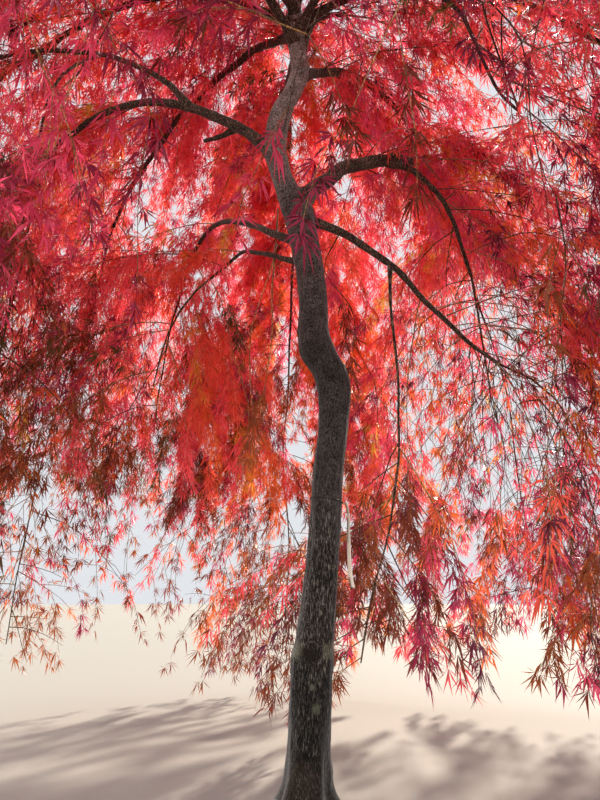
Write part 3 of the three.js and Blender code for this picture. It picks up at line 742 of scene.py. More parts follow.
twig_shoot, twig_roots, twig_directions, twig_lengths = side_twigs(shoots, shoot_counts)
of_seen = is_seen[twig_shoot]
twigs, twig_counts = grow(twig_roots, twig_directions, twig_lengths, TWIG_STEP, TWIG_BEND, TWIG_WANDER,
                          TWIG_DROOP, of_seen)
middles = middles_of(twigs, twig_counts)
share = np.where(of_seen, twig_share[twig_shoot], np.interp(middles[:, 2], FULLNESS_HEIGHTS, FULLNESS))
keep = (twig_counts > 2) & (dice.random(len(twigs)) < share)
in_even_cells = evened_out(middles, CELL, MOST_IN_A_CELL)
in_fuller_cells = evened_out(middles, CELL, MOST_IN_A_CELL + 1) & (fuller_shares(middles) > 0)
keep &= in_even_cells | in_fuller_cells | of_seen
twigs, twig_counts, twig_shoot = twigs[keep], twig_counts[keep], twig_shoot[keep]
print(len(twigs), "side twigs,", round(twig_counts.sum() * TWIG_STEP), "m in all")

# %% [markdown]
# ## Thin places
#
# From under the front of the crown, light shows through the leaves at a few places, and these are what
# makes the crown look airy. Each place is a direction from the parting's point, and leaves in it are thinned.

# %% Thin places as directions from the parting's point
THIN_PLACES = [  # heading right of straight ahead, height, half-width, half-height, share of leaves lost
    [7, 51, 7, 6, 0.45],
    [-17, 36, 5, 5, 0.35],
    [-14, 22, 4, 5, 0.45],
    [31, 47, 7, 8, 0.6],
    [24, 32, 8, 8, 0.35],
    [18, 19, 9, 11, 0.72],
    [25, 14, 8, 10, 0.45],
    [1, 17, 1.4, 4, 0.6],
    [-22, 0, 13, 10, 0.5],
    [-7, 2, 6, 10, 0.3],
]
# leaves near the parting's point are thinned as well, or they would fill the view
NEAR_REACHES = [1.3, 2.2]
NEAR_SHARES = [0.35, 0.0]
NEAR_HALF_WIDTH = 36  # degrees


def thinned(points):
    right, height = bearings(points)
    near_share = np.interp(np.linalg.norm(points - PARTING_EYE, axis=1), NEAR_REACHES, NEAR_SHARES)
    lost = (np.abs(right) < NEAR_HALF_WIDTH) & (dice.random(len(points)) < near_share)
    for heading, pitch, half_width, half_height, share in THIN_PLACES:
        off = ((right - heading) / half_width) ** 2 + ((height - pitch) / half_height) ** 2
        lost |= (off < 1) & (dice.random(len(points)) < share)
    return lost


print(len(THIN_PLACES), "thin places")

# %% [markdown]
# ## Leaves
#
# A laceleaf maple's leaf is cut to its base into seven slender lobes, 7 to 9 cm long, that hang like
# tassels in autumn. Each lobe is one long triangle here, widest a little before its middle, and its tip
# droops. Leaves near the parting, which are seen large, have lobes of two triangles, like a kite. With a thin
# stalk a leaf has eight or fifteen triangles.
# Leaves leave a twig in opposite pairs, each pair turned against the one before.

# %% Leaf places along the twigs
LOBE_LENGTH = 0.07  # a little larger than life, because the crown has fewer leaves than the real one
LEAF_TURN = 0.5  # chance in the turn of a pair, in radians
LEAF_ACROSS = 0.75  # how far leaves stand off the twig, lie along it, scatter and hang
LEAF_ALONG = 0.45
LEAF_SCATTER = 0.22
LEAF_HANG = 0.75
LEAF_REACH = 1.2  # of the lobe's length, with the stalk
LEAF_OFF_WOOD = 0.012


def leaf_places(paths, counts):
    rows, steps = steps_of(paths, counts)
    points = paths[rows, steps]
    tangents = unit(points - paths[rows, steps - 1])
    extra = dice.random(len(points)) < fuller_shares(points)
    between = points[extra] - tangents[extra] * TWIG_STEP / 2
    rows, steps = np.concatenate([rows, rows[extra]]), np.concatenate([steps, steps[extra] + 1])
    return rows, steps, np.concatenate([points, between]), np.concatenate([tangents, tangents[extra]])


rows, steps, points, tangents = leaf_places(twigs, twig_counts)
pair_turn = steps * math.pi / 2 + dice.uniform(-LEAF_TURN, LEAF_TURN, len(steps))
across = unit(np.cross(tangents, [0.13, 0.21, 1.0]))
across = turned(across, tangents, pair_turn)
leaf_rows = np.concatenate([rows, rows])
leaf_points = np.concatenate([points, points])
leaf_axes = np.concatenate([across, -across]) * LEAF_ACROSS
leaf_axes += np.concatenate([tangents, tangents]) * LEAF_ALONG
leaf_axes = leaf_axes + dice.normal(0, LEAF_SCATTER, leaf_axes.shape)
leaf_axes[:, 2] -= LEAF_HANG
leaf_axes = unit(leaf_axes)
leaf_tips = leaf_points + leaf_axes * LOBE_LENGTH * LEAF_REACH
keep = ~thinned(leaf_points) & in_crown(leaf_tips)
keep &= ~in_parting(leaf_points) | is_seen[twig_shoot[leaf_rows]]
keep &= ~near_wood(leaf_points, LEAF_OFF_WOOD)
leaf_rows, leaf_points, leaf_axes = leaf_rows[keep], leaf_points[keep], leaf_axes[keep]
print(len(leaf_points), "leaves")

# %% Meshes from arrays
def mesh_from_arrays(name, points, triangles):
    mesh = bpy.data.meshes.new(name)
    mesh.vertices.add(len(points))
    mesh.vertices.foreach_set("co", points.astype(np.float32).ravel())
    mesh.loops.add(triangles.size)
    mesh.loops.foreach_set("vertex_index", triangles.astype(np.int32).ravel())
    mesh.polygons.add(len(triangles))
    mesh.polygons.foreach_set("loop_start", np.arange(0, triangles.size, 3, dtype=np.int32))
    mesh.update(calc_edges=True)
    piece = bpy.data.objects.new(name, mesh)
    bpy.context.scene.collection.objects.link(piece)
    return piece


print(len(bpy.data.meshes), "meshes so far, all from the CAD")

# %% A leaf's lobes
LOBE_ANGLES = np.radians([0, -26, 27, -54, 53, -84, 86])
LOBE_SHARES = np.array([1.0, 0.95, 0.92, 0.82, 0.84, 0.62, 0.6])
LOBE_SIDES = np.array([1, -1, 1, -1, 1, -1, 1])  # the side of a lobe that is full
LOBE_WIDTH = 0.115  # share of the lobe's length
LOBE_WIDEST_AT = 0.4
LOBE_DROOP = 0.28
LOBE_DROOP_AT_WIDEST = 0.2  # of the tip's droop
LOBE_CURL = 0.05
ANGLE_SPREAD = (0.85, 1.12)  # of a leaf's angles
ANGLE_CHANCE = 0.09
LENGTH_SPREAD = (0.8, 1.12)
BLADE_TILT = 0.55  # chance in the way a blade faces, which is else upwards and a little outwards
BLADE_UP = 0.9
BLADE_OUT = 0.5
STALK_LENGTH = 0.026
STALK_HALF_WIDTH = 0.0008


def leaf_arrays(bases, axes, scales, whole):
    """Corners and triangles of many leaves: for each, a stalk and seven drooping lobes.
    Whole leaves have lobes that are full on both sides."""
    count, lobes = len(bases), len(LOBE_ANGLES)
    facing = np.array([0, 0, BLADE_UP]) + BLADE_OUT * unit(bases * [1, 1, 0])
    tilt = dice.normal(0, BLADE_TILT, (count, 3)) + facing
    sides = unit(np.cross(axes, tilt))
    normals = np.cross(sides, axes)
    centres = (bases + axes * STALK_LENGTH * scales[:, None])[:, None]
    angles = LOBE_ANGLES[None] * dice.uniform(*ANGLE_SPREAD, (count, 1))
    angles = angles + dice.normal(0, ANGLE_CHANCE, (count, lobes))
    lengths = LOBE_LENGTH * scales[:, None] * LOBE_SHARES[None] * dice.uniform(*LENGTH_SPREAD, (count, lobes))
    along = axes[:, None] * np.cos(angles)[..., None] + sides[:, None] * np.sin(angles)[..., None]
    across = np.cross(normals[:, None], along)
    curl = normals[:, None] * (lengths * dice.normal(0, LOBE_CURL, (count, lobes)))[..., None]
    droop = np.array([0, 0, -LOBE_DROOP]) * lengths[..., None]
    middles = centres + along * (lengths * LOBE_WIDEST_AT)[..., None] + droop * LOBE_DROOP_AT_WIDEST + curl
    width = across * (lengths * LOBE_WIDTH * LOBE_SIDES)[..., None] * (0.5 if whole else 1.0)
    tips = centres + along * lengths[..., None] + droop
    stalk = sides[:, None] * STALK_HALF_WIDTH
    parts = [centres, middles + width, tips, bases[:, None] - stalk, bases[:, None] + stalk]
    centre, first = np.zeros(lobes, int), np.arange(lobes) + 1
    faces = [np.column_stack([centre, first, first + lobes]), [[0, 2 * lobes + 1, 2 * lobes + 2]]]
    if whole:
        parts.append(middles - width)
        faces.append(np.column_stack([centre, first + lobes, first + 2 * lobes + 2]))
    corners = np.concatenate(parts, axis=1)
    triangles = (np.arange(count) * corners.shape[1])[:, None, None] + np.concatenate(faces)[None]
    return corners.reshape(-1, 3), triangles.reshape(-1, 3)


print(len(LOBE_ANGLES), "lobes to a leaf, the longest", LOBE_LENGTH, "m")

# %% [markdown]
# ## Tints
#
# The crown isn't one red. Tints are dealt by place, partly as the autumn colour the sprays have and partly as
# painted light and shade: scarlet goes most where low sun comes through from behind, the lowest sprays get
# rust, brown-red and orange, and crimson to maroon go to the side away from the sun and the front, where the
# crown is in shade. Every shoot gets one tint, and some of its side twigs another, so the colours lie in
# sprays, as they do on the tree. Each tint is a plain base colour, because a pattern laid over thousands of
# leaves would blur when the model is exported.

# %% The tints
TINTS = {
    "scarlet": "#f05a62",
    "bright_red": "#f2644e",
    "crimson": "#e04e72",
    "dark_crimson": "#9c3452",
    "maroon": "#6c3046",
    "orange_red": "#ec743c",
    "orange": "#e48c3a",
    "gold": "#e0b04a",
    "rust": "#9c542e",
    "brown_red": "#7a3a2a",
    "bronze": "#62502c",
}
tint_names = list(TINTS)
print(len(TINTS), "tints")

# %% The chances of each tint
def deal_tints(points):
    """A tint for each shoot from where it hangs, with chance mixed in."""
    x, y, z = points.T
    high = np.clip((z - 2.2) / 1.4, 0, 1)
    low = np.clip((2.3 - z) / 1.1, 0, 1)
    lowest = np.clip((1.5 - z) / 0.7, 0, 1)
    right = np.clip((x - 0.25) / 1.2, 0, 1)
    left = np.clip((-x - 0.2) / 1.0, 0, 1)
    back = np.clip(y / 2.0, 0, 1)
    front = np.clip(-y / 1.6, 0, 1)
    behind = np.exp(-((x - 0.45) / 0.8) ** 2) * back
    # partly painted light and shade: bright tints are dealt less, and dark ones more, at the hem, at the side
    # away from the sun and at the front
    aside = np.maximum(np.maximum(left, 0.8 * right), 0.65 * back)
    bright = 1 - 0.85 * np.maximum(lowest, low * aside)
    low_back = low * back * (1 - right)
    hem = lowest * (1 - 0.6 * right)
    weights = {
        "scarlet": (1.5 + 0.8 * high + 0.5 * back) * bright,
        "bright_red": (0.8 + 0.9 * back * (1 - right)) * bright,
        "crimson": 1.0 + 1.3 * right - 0.7 * lowest * (1 - right),
        "dark_crimson": 0.25 + 0.7 * right + 0.8 * front + 1.5 * low * right + 0.4 * lowest,
        "maroon": 0.05 + 0.35 * right + 0.7 * front * high + 1.2 * low * right + 0.3 * lowest,
        "orange_red": (0.25 + 1.0 * low * back + 2.0 * behind) * (0.5 + 0.5 * bright),
        "orange": (0.06 + 0.3 * low * back + 0.7 * behind * (1 - high)) * (0.4 + 0.6 * bright),
        "gold": (0.04 + 0.35 * behind * (1 - high)) * bright,
        "rust": 0.04 + 1.4 * low * left + 0.8 * low_back + 0.3 * low + 1.9 * hem,
        "brown_red": 0.02 + 1.6 * low * left + 0.8 * low_back + 0.2 * low + 2.4 * hem,
        "bronze": 0.03 + 0.25 * front * high + 0.4 * low * left + 0.3 * lowest,
    }
    totals = np.cumsum(np.column_stack([weights[name] for name in tint_names]), axis=1)
    return (dice.random(len(points))[:, None] * totals[:, -1:] > totals).sum(axis=1)


print("tints are dealt by height, side and depth")

# %% Tints, dealt out by shoot and twig
OWN_HEIGHTS = [1.2, 1.9]
OWN_SHARES = [0.95, 0.5]  # share of the side twigs that have a tint of their own, the most near the hem
shoot_tints = deal_tints(middles_of(shoots, shoot_counts))
twig_middles = middles_of(twigs, twig_counts)
own_tints = deal_tints(twig_middles)
own_share = np.interp(twig_middles[:, 2], OWN_HEIGHTS, OWN_SHARES)
twig_tints = np.where(dice.random(len(twigs)) < own_share, own_tints, shoot_tints[twig_shoot])
# painted shade: the near leaves, seen against the light from below, get only darker tints
near = np.array([False] * grown + [name.startswith("near") for name in SEEN_SHOOTS])[twig_shoot]
painted_shade_tints = [tint_names.index(name) for name in ("crimson", "dark_crimson", "brown_red")]
twig_tints[near] = dice.choice(painted_shade_tints, near.sum())
print({name: int((twig_tints == k).sum()) for k, name in enumerate(tint_names)})

# %% [markdown]
# ## Finishes
#
# Materials are built from nodes. One small function adds a node, with its settings and its links, and one
# turns the hex values of a colour picker, which are sRGB, into the linear numbers that the shader takes.

# %% Helpers for materials
def linear(hex_colour):
    values = [int(hex_colour[i:i + 2], 16) / 255 for i in (1, 3, 5)]
    return [v / 12.92 if v <= 0.04045 else ((v + 0.055) / 1.055) ** 2.4 for v in values] + [1.0]


def new_material(name):
    material = bpy.data.materials.new(name)
    material.use_nodes = True
    material.node_tree.nodes.clear()
    return material


def add_node(material, kind, inputs=(), output=None, stops=(), **settings):
    """A shader node. Inputs go by name or in their order: one given as a (node, output name) pair is a link,
    anything else is a value. With an output's name it returns such a pair. Stops are a ramp's colours."""
    node = material.node_tree.nodes.new("ShaderNode" + kind)
    for key, value in settings.items():
        setattr(node, key, value)
    for key, value in inputs.items() if isinstance(inputs, dict) else enumerate(inputs):
        if isinstance(value, tuple):
            material.node_tree.links.new(value[0].outputs[value[1]], node.inputs[key])
        else:
            node.inputs[key].default_value = value
    if stops:
        ramp = node.color_ramp.elements
        ramp[0].position, ramp[0].color = stops[0]
        ramp[1].position, ramp[1].color = stops[-1]
        for at, colour in stops[1:-1]:
            ramp.new(at).color = colour
    return (node, output) if output else node


print("middle grey is", round(linear("#808080")[0], 3), "to the shader")

# %% Leaf finish: a thin matt blade that lets light through
def leaf_finish(name, hex_colour):
    """Autumn leaf: dyed through, matt above, and about half of the light goes on through it."""
    material = new_material("leaf_" + name)
    colour = linear(hex_colour)
    inputs = {"Base Color": colour, "Roughness": 0.42, "IOR": 1.45}
    surface = add_node(material, "BsdfPrincipled", inputs, "BSDF")
    through = add_node(material, "BsdfTranslucent", {"Color": colour}, "BSDF")
    both = add_node(material, "MixShader", [0.5, surface, through], "Shader")
    add_node(material, "OutputMaterial", {"Surface": both})
    material.diffuse_color = colour
    return material


leaf_materials = {name: leaf_finish(name, colour) for name, colour in TINTS.items()}
print(len(leaf_materials), "leaf tints")

# %% The leaves, in pieces by tint
LEAVES_IN_A_PIECE = 16000
LEAF_SCALES = (0.75, 1.15)
WHOLE_REACH = 1.6  # leaves this near the parting's point have whole lobes
leaf_tints = twig_tints[leaf_rows]
is_whole = np.linalg.norm(leaf_points - PARTING_EYE, axis=1) < WHOLE_REACH
leaf_pieces = []
for k, name in enumerate(tint_names):
    chosen = np.nonzero(leaf_tints == k)[0]
    parts = max(1, math.ceil(len(chosen) / LEAVES_IN_A_PIECE))
    for number, part in enumerate(np.array_split(chosen, parts), 1):
        corners, triangles, offset = [], [], 0
        for whole in (False, True):
            group = part[is_whole[part] == whole]
            scales = dice.uniform(*LEAF_SCALES, len(group))
            places, faces = leaf_arrays(leaf_points[group], leaf_axes[group], scales, whole)
            corners.append(places)
            triangles.append(faces + offset)
            offset += len(places)
        corners, triangles = np.concatenate(corners), np.concatenate(triangles)
        piece = mesh_from_arrays(f"leaves_{name}_{number}", corners, triangles)
        piece.data.materials.append(leaf_materials[name])
        leaf_pieces.append(piece)
        print(piece.name, len(part), "leaves", len(piece.data.polygons), "triangles")

# %% Twig tubes from arrays
TWIG_SIDES = 3


def twig_arrays(paths, counts, butts, tip):
    """Three-sided tubes along many paths, each tapering from its own butt radius and closed at both ends."""
    corners, faces, offset = [], [], 0
    for count in np.unique(counts):
        if count < 2:
            continue
        chosen = counts == count
        group = paths[chosen][:, :count]
        tangents = unit(np.gradient(group, axis=1))
        first = unit(np.cross(tangents, [0.31, 0.53, 0.12]))
        second = np.cross(tangents, first)
        radii = (butts[chosen, None] + (tip - butts[chosen, None]) * np.linspace(0, 1, count))[..., None]
        rings = []
        for j in range(TWIG_SIDES):
            turn = 2 * math.pi * j / TWIG_SIDES
            rings.append(group + (first * math.cos(turn) + second * math.sin(turn)) * radii)
        rings = np.stack(rings, axis=2)
        per = count * TWIG_SIDES
        quads = []
        for i in range(count - 1):
            for j in range(TWIG_SIDES):
                a, b = i * TWIG_SIDES + j, i * TWIG_SIDES + (j + 1) % TWIG_SIDES
                quads += [[a, b, b + TWIG_SIDES], [a, b + TWIG_SIDES, a + TWIG_SIDES]]
        last = (count - 1) * TWIG_SIDES
        quads += [[2, 1, 0], [last, last + 1, last + 2]]
        starts = offset + np.arange(len(group)) * per
        faces.append((starts[:, None, None] + np.array(quads)[None]).reshape(-1, 3))
        corners.append(rings.reshape(-1, 3))
        offset += len(group) * per
    return np.concatenate(corners), np.concatenate(faces)


print("twigs are tubes with", TWIG_SIDES, "sides")

# %% [markdown]
# ## Bark
#
# The trunk's bark is dark grey-brown. Low down it has fine upright furrows with paler ridges between them and
# a few grey lichen spots, and from about a metre up it is smoother and greyer. Limbs are smooth too. Relief
# that changes the outline, such as knuckles and collars at the forks, is in the mesh, and the finest grain is
# in the material's bump. Dry bark hardly shines, but the algae on it catch light at the edges, which a sheen
# gives.

# %% Where the trunk's bark differs
BARK_SPOTS = [  # depth and pixel where it lies, radius in mm, colour and strength
    (-0.06, (315, 687), 11, "#8d8b78", 0.16),
    (-0.06, (318, 708), 13, "#7f8468", 0.18),
    (-0.03, (296, 651), 26, "#85856c", 0.24),
    (-0.03, (326, 652), 24, "#85856c", 0.24),
    (-0.06, (309, 655), 32, "#100c08", 0.85),
    (-0.06, (302, 785), 60, "#33291c", 0.3),
    # the last two spots are painted sunlight: pale patches on the fork's base and on a limb beside it, which
    # the limbs' bark takes too
    (0.02, (318, 201), 46, "#8a8272", 0.35),
    (0.06, (334, 214), 22, "#a09680", 0.4),
]
# painted shade and painted sunlight: a grey ramp over the height darkens the trunk's bark most low down and
# at the kink, and lets it reach its full colour only at the top
BARK_PAINTED_SHADE = [  # height and share of the light that the bark gives back: it is darkest low down
    (0.0, 0.12), (0.3, 0.12), (0.41, 0.27), (0.5, 0.24), (1.0, 0.25), (1.45, 0.18), (1.75, 0.34), (2.2, 0.5),
    (2.7, 1.0),
]
LEVEL_CRACKS = [(2.16, 0.3), (0.115, 0.035), (0.43, 0.02)]  # height and reach of level cracks
SMOOTH_BARK = ("#282321", "#b4aaa4", 0.75, 1.2)  # its two greys, and between which heights it takes over
print(len(BARK_SPOTS), "spots and", len(LEVEL_CRACKS), "places with level cracks")

# %% The grain of bark: furrows below, a smooth grain above, and dark patches
OVER = {"data_type": "RGBA"}  # a mix node that lays one colour over another
DARKEN = {"data_type": "RGBA", "blend_type": "MULTIPLY"}
FURROW_STRETCH = 0.11  # furrows run up the trunk
FURROW_STOPS = [0.47, 0.54, 0.64]
GRAIN_PER_METRE = 150  # one every 7 mm
GRAIN_STRETCH = 0.7
GRAIN_STOPS = [0.42, 0.6]
PATCHES_PER_METRE = 17  # one every 60 mm
PATCH_SHADE = [0.42, 0.4, 0.4, 1]


def bark_grain(material, place, height, furrows, colours, smooth):
    stops = [(at, linear(colour)) for at, colour in zip(FURROW_STOPS, colours)]
    colour = add_node(material, "ValToRGB", [furrows], "Color", stops)
    if smooth:
        *greys, first, last = smooth
        drawn_out = add_node(material, "Mapping", {"Vector": place, "Scale": [1, 1, GRAIN_STRETCH]}, "Vector")
        inputs = {"Vector": drawn_out, "Scale": GRAIN_PER_METRE, "Detail": 6, "Roughness": 0.8}
        grain = add_node(material, "TexNoise", inputs, "Fac")
        stops = [(at, linear(grey)) for at, grey in zip(GRAIN_STOPS, greys)]
        grain = add_node(material, "ValToRGB", [grain], "Color", stops)
        share = add_node(material, "MapRange", [height, first, last, 0.0, 0.85], "Result")
        colour = add_node(material, "Mix", {"Factor": share, "A": colour, "B": grain}, "Result", **OVER)
    inputs = {"Vector": place, "Scale": PATCHES_PER_METRE, "Detail": 4}
    patches = add_node(material, "TexNoise", inputs, "Fac")
    share = add_node(material, "MapRange", [patches, 0.42, 0.62, 0.0, 0.7], "Result")
    return add_node(material, "Mix", {"Factor": share, "A": colour, "B": PATCH_SHADE}, "Result", **DARKEN)


# %% [markdown]
# Old wood has level cracks at a few heights, where the trunk bends or a limb was lost. Noise that is drawn
# out on the level gives the lines, and the distance from a height says where they show. Spots of lichen, the
# old knot and two pale patches of painted sunlight at the fork are places in the picture, so each is the
# distance from a point, worn by noise at its edge. A ramp over the height darkens the bark as painted shade,
# most low down and at the kink, and lifts it to its full colour towards the top as painted sunlight.

# %% Cracks, spots, and painted shade and sunlight over the bark's height
CRACKS_PER_METRE = 18  # one every 7 mm up the trunk, by their stretch
CRACK_STRETCH = 8
CRACK_SHADE = [0.42, 0.38, 0.36, 1]
SPOT_WARP = 0.05
WARPS_PER_METRE = 30
SPOT_EDGE = (1.4, 0.5)  # shares of a spot's radius where it begins and where it is full


def cracked(material, place, height, colour, cracks):
    drawn_out = add_node(material, "Mapping", {"Vector": place, "Scale": [1, 1, CRACK_STRETCH]}, "Vector")
    inputs = {"Vector": drawn_out, "Scale": CRACKS_PER_METRE, "Detail": 3}
    lines = add_node(material, "TexNoise", inputs, "Fac")
    lines = add_node(material, "MapRange", [lines, 0.5, 0.42, 0.0, 0.9], "Result")
    for middle, reach in cracks:
        away = add_node(material, "Math", [height, middle], "Value", operation="SUBTRACT")
        away = add_node(material, "Math", [away], "Value", operation="ABSOLUTE")
        nearness = add_node(material, "MapRange", [away, 0.0, reach, 1.0, 0.0], "Result")
        share = add_node(material, "Math", [lines, nearness], "Value", operation="MULTIPLY")
        inputs = {"Factor": share, "A": colour, "B": CRACK_SHADE}
        colour = add_node(material, "Mix", inputs, "Result", **DARKEN)
    return colour


# painted shade: the bark's colour is multiplied by a grey ramp over its height
def with_painted_shade(material, height, colour, painted_shades):
    top = painted_shades[-1][0]
    stops = [(at / top, [share, share, share, 1]) for at, share in painted_shades]
    up = add_node(material, "MapRange", [height, 0.0, top, 0.0, 1.0], "Result")
    shade = add_node(material, "ValToRGB", [up], "Color", stops)
    return add_node(material, "Mix", {"Factor": 1.0, "A": colour, "B": shade}, "Result", **DARKEN)


def spotted(material, place, colour, spots):
    wear = add_node(material, "TexNoise", {"Vector": place, "Scale": WARPS_PER_METRE, "Detail": 3}, "Color")
    inputs = [wear, [SPOT_WARP] * 3, place]
    warped = add_node(material, "VectorMath", inputs, "Vector", operation="MULTIPLY_ADD")
    for depth, pixel, radius, spot_colour, strength in spots:
        middle = seen_at(*pixel, depth) + SPOT_WARP / 2
        away = add_node(material, "VectorMath", [warped, middle], "Value", operation="DISTANCE")
        outer, inner = (radius * MM * share for share in SPOT_EDGE)
        share = add_node(material, "MapRange", [away, outer, inner, 0.0, strength], "Result")
        inputs = {"Factor": share, "A": colour, "B": linear(spot_colour)}
        colour = add_node(material, "Mix", inputs, "Result", **OVER)
    return colour


print("spots are worn by up to", SPOT_WARP / 2, "m")

# %% Bark finishes
FLECKS = "#8e8570"
FLECKS_PER_METRE = 230  # one every 4 mm
BARK_GLOSS = 0.12
BARK_ALGAE = 0.2


def bark_finish(name, dark, middle, pale, furrow_mm, relief, painted_shades=(), spots=(), cracks=(), smooth=()):
    """Maple bark, dry and matt: furrows this many mm apart, with relief in mm."""
    material = new_material(name)
    place = add_node(material, "TexCoord", output="Object")
    height = add_node(material, "SeparateXYZ", [place], "Z")
    drawn_out = add_node(material, "Mapping", {"Vector": place, "Scale": [1, 1, FURROW_STRETCH]}, "Vector")
    inputs = {"Vector": drawn_out, "Scale": 1000 / furrow_mm, "Detail": 5, "Roughness": 0.7}
    furrows = add_node(material, "TexNoise", inputs, "Fac")
    flecks = add_node(material, "TexNoise", {"Vector": place, "Scale": FLECKS_PER_METRE}, "Fac")
    colour = bark_grain(material, place, height, furrows, (dark, middle, pale), smooth)
    share = add_node(material, "MapRange", [flecks, 0.6, 0.68, 0.0, 0.6], "Result")
    colour = add_node(material, "Mix", {"Factor": share, "A": colour, "B": linear(FLECKS)}, "Result", **OVER)
    if cracks:
        colour = cracked(material, place, height, colour, cracks)
    if painted_shades:
        colour = with_painted_shade(material, height, colour, painted_shades)
    if spots:
        colour = spotted(material, place, colour, spots)
    ridges = add_node(material, "Math", [furrows, flecks], "Value", operation="ADD")
    bump = add_node(material, "Bump", {"Height": ridges, "Distance": relief * MM, "Strength": 0.9}, "Normal")
    inputs = {"Base Color": colour, "Normal": bump, "Roughness": 0.88, "Specular IOR Level": BARK_GLOSS,
              "Sheen Weight": BARK_ALGAE, "Sheen Roughness": 0.4}
    surface = add_node(material, "BsdfPrincipled", inputs, "BSDF")
    add_node(material, "OutputMaterial", {"Surface": surface})
    return material


old_bark = bark_finish("furrowed_bark", "#242019", "#4e4540", "#ece0ce", 2.7, 2.0,
                       BARK_PAINTED_SHADE, BARK_SPOTS, LEVEL_CRACKS, SMOOTH_BARK)
# the limbs take the last two spots, painted sunlight at the fork
young_bark = bark_finish("smooth_bark", "#261d18", "#483930", "#8c7c6a", 4, 1.2, spots=BARK_SPOTS[-2:])
shoot_bark = bark_finish("shoot_bark", "#33221a", "#5a4030", "#96764e", 4, 0.5)
# painted sunlight: a pale tan copy of the shoot bark, for the shoots on the sunlit left side
painted_sunlit_bark = bark_finish("painted_sunlit_shoot_bark", "#7a5a38", "#b89058", "#e2c084", 4, 0.5)
twig_bark = bark_finish("twig_bark", "#5a3a26", "#92683e", "#c89c60", 4, 0.3)
print([finish.name for finish in (old_bark, young_bark, shoot_bark, painted_sunlit_bark, twig_bark)])

# %% A grid rolled round a path
def rolled_bark(mesh, columns, rows, place):
    """A flat grid is rolled into a tube: place(share along, turn) gives where each corner goes."""
    grid = bmesh.ops.create_grid(mesh, x_segments=columns, y_segments=rows, size=1.0)["verts"]
    for corner in grid:
        along, turn = (corner.co.y + 1) / 2, (corner.co.x + 1) * math.pi
        corner.co = place(along, turn)
    bmesh.ops.remove_doubles(mesh, verts=grid, dist=1e-6)
    rims = {edge for corner in grid if corner.is_valid for edge in corner.link_edges if edge.is_boundary}
    bmesh.ops.holes_fill(mesh, edges=list(rims), sides=0)


def finished(name, mesh, material, smooth=True):
    bmesh.ops.recalc_face_normals(mesh, faces=mesh.faces)
    data = bpy.data.meshes.new(name)
    mesh.to_mesh(data)
    mesh.free()
    data.materials.append(material)
    if smooth:
        data.shade_smooth()
    piece = bpy.data.objects.new(name, data)
    bpy.context.scene.collection.objects.link(piece)
    print(name, len(data.polygons), "faces")
    return piece


# %% The surface of the trunk: knots, collars and relief
FURROW_RELIEF = 0.0022
COARSE_RELIEF = 0.0035
WRINKLE_RELIEF = 0.0025
COLLAR_RISE = 0.02  # a collar's middle is this far above where the limb's middle starts
COLLAR_REACH = 1.6  # of the limb's radius
COLLAR_SIZE = 0.35  # of the limb's radius, and larger for two limbs
SWOLLEN_COLLARS = {"bough_right": 0.75, "bough_low_right": 0.7}
SWELL_TURN = 0.7  # a swelling fades by a factor of e over this turn, in radians
KNOTS = [  # height, heading, size and reach along the trunk: the two sides of the kink, and the base's collar
    (0.425, 4.6, 0.006, 0.02),
    (1.475, math.pi, 0.013, 0.05),
    (1.36, 0.1, 0.009, 0.07),
    (0.405, 3.3, 0.003, 0.03),
    (0.40, 0.2, 0.004, 0.03),
    (0.085, 0.0, 0.005, 0.02),
]
OLD_KNOT = (0.43, 4.62, 0.02, 0.026)  # height, heading and half-sizes of a knot in the base's collar
KNOT_RIM = 0.005
KNOT_DIP = 0.007
WRINKLES_AT = 2.16  # level wrinkles in the bark below the fork
WRINKLES_REACH = 0.2
collars = []
for name, parent, where, heading, *_, swing, butt, tip in LIMBS:
    if parent == "trunk":
        size = SWOLLEN_COLLARS.get(name, COLLAR_SIZE) * butt * MM
        reach = COLLAR_REACH * butt * MM
        collars.append((where * MM + COLLAR_RISE, math.radians(heading + swing), size, reach))


def trunk_surface(z, turn):
    """The radius of the bark at a height and a turn round the trunk."""
    flare = math.exp(-z / FLARE_HEIGHT)
    spur = 1 + SPUR_DEPTH * math.exp(-z / 2 / FLARE_HEIGHT) * math.sin(ROOT_SPURS * turn + SPUR_TURN)
    knuckle = 1 + 0.05 * math.sin(2 * turn + z / 0.21) + 0.03 * math.sin(3 * turn - z / 0.15)
    radius = (trunk_radius(z) + FLARE_RADIUS * flare) * spur * knuckle
    for height, heading, size, reach in collars + KNOTS:
        aside = math.remainder(turn - heading, 2 * math.pi)
        radius += size * math.exp(-((z - height) / reach) ** 2 - (aside / SWELL_TURN) ** 2)
    height, heading, half_height, half_width = OLD_KNOT
    aside = math.remainder(turn - heading, 2 * math.pi) * radius
    off = math.hypot((z - height) / half_height, aside / half_width)
    radius += KNOT_RIM * math.exp(-((off - 1.1) / 0.4) ** 2) - KNOT_DIP * math.exp(-((off / 0.7) ** 2))
    # noise in three grains: swells, furrows, and level wrinkles, for which it is drawn out round the trunk
    x, y = math.cos(turn), math.sin(turn)
    coarse = noise.fractal(Vector((x * 3, y * 3, z * 5)), 1.0, 2.0, 3)
    furrow = noise.fractal(Vector((x * 9, y * 9, z * 14)), 0.8, 2.0, 4)
    wrinkled = math.exp(-(((z - WRINKLES_AT) / WRINKLES_REACH) ** 2))
    wrinkle = noise.noise(Vector((x * 1.5, y * 1.5, z * 45)))
    return radius + COARSE_RELIEF * coarse + FURROW_RELIEF * furrow + WRINKLE_RELIEF * wrinkled * wrinkle


print("the bark at the kink stands", round(trunk_surface(1.48, math.pi), 3), "m from the trunk's middle")

# %% The trunk's bark
TRUNK_COLUMNS = 72
TRUNK_ROWS = 330


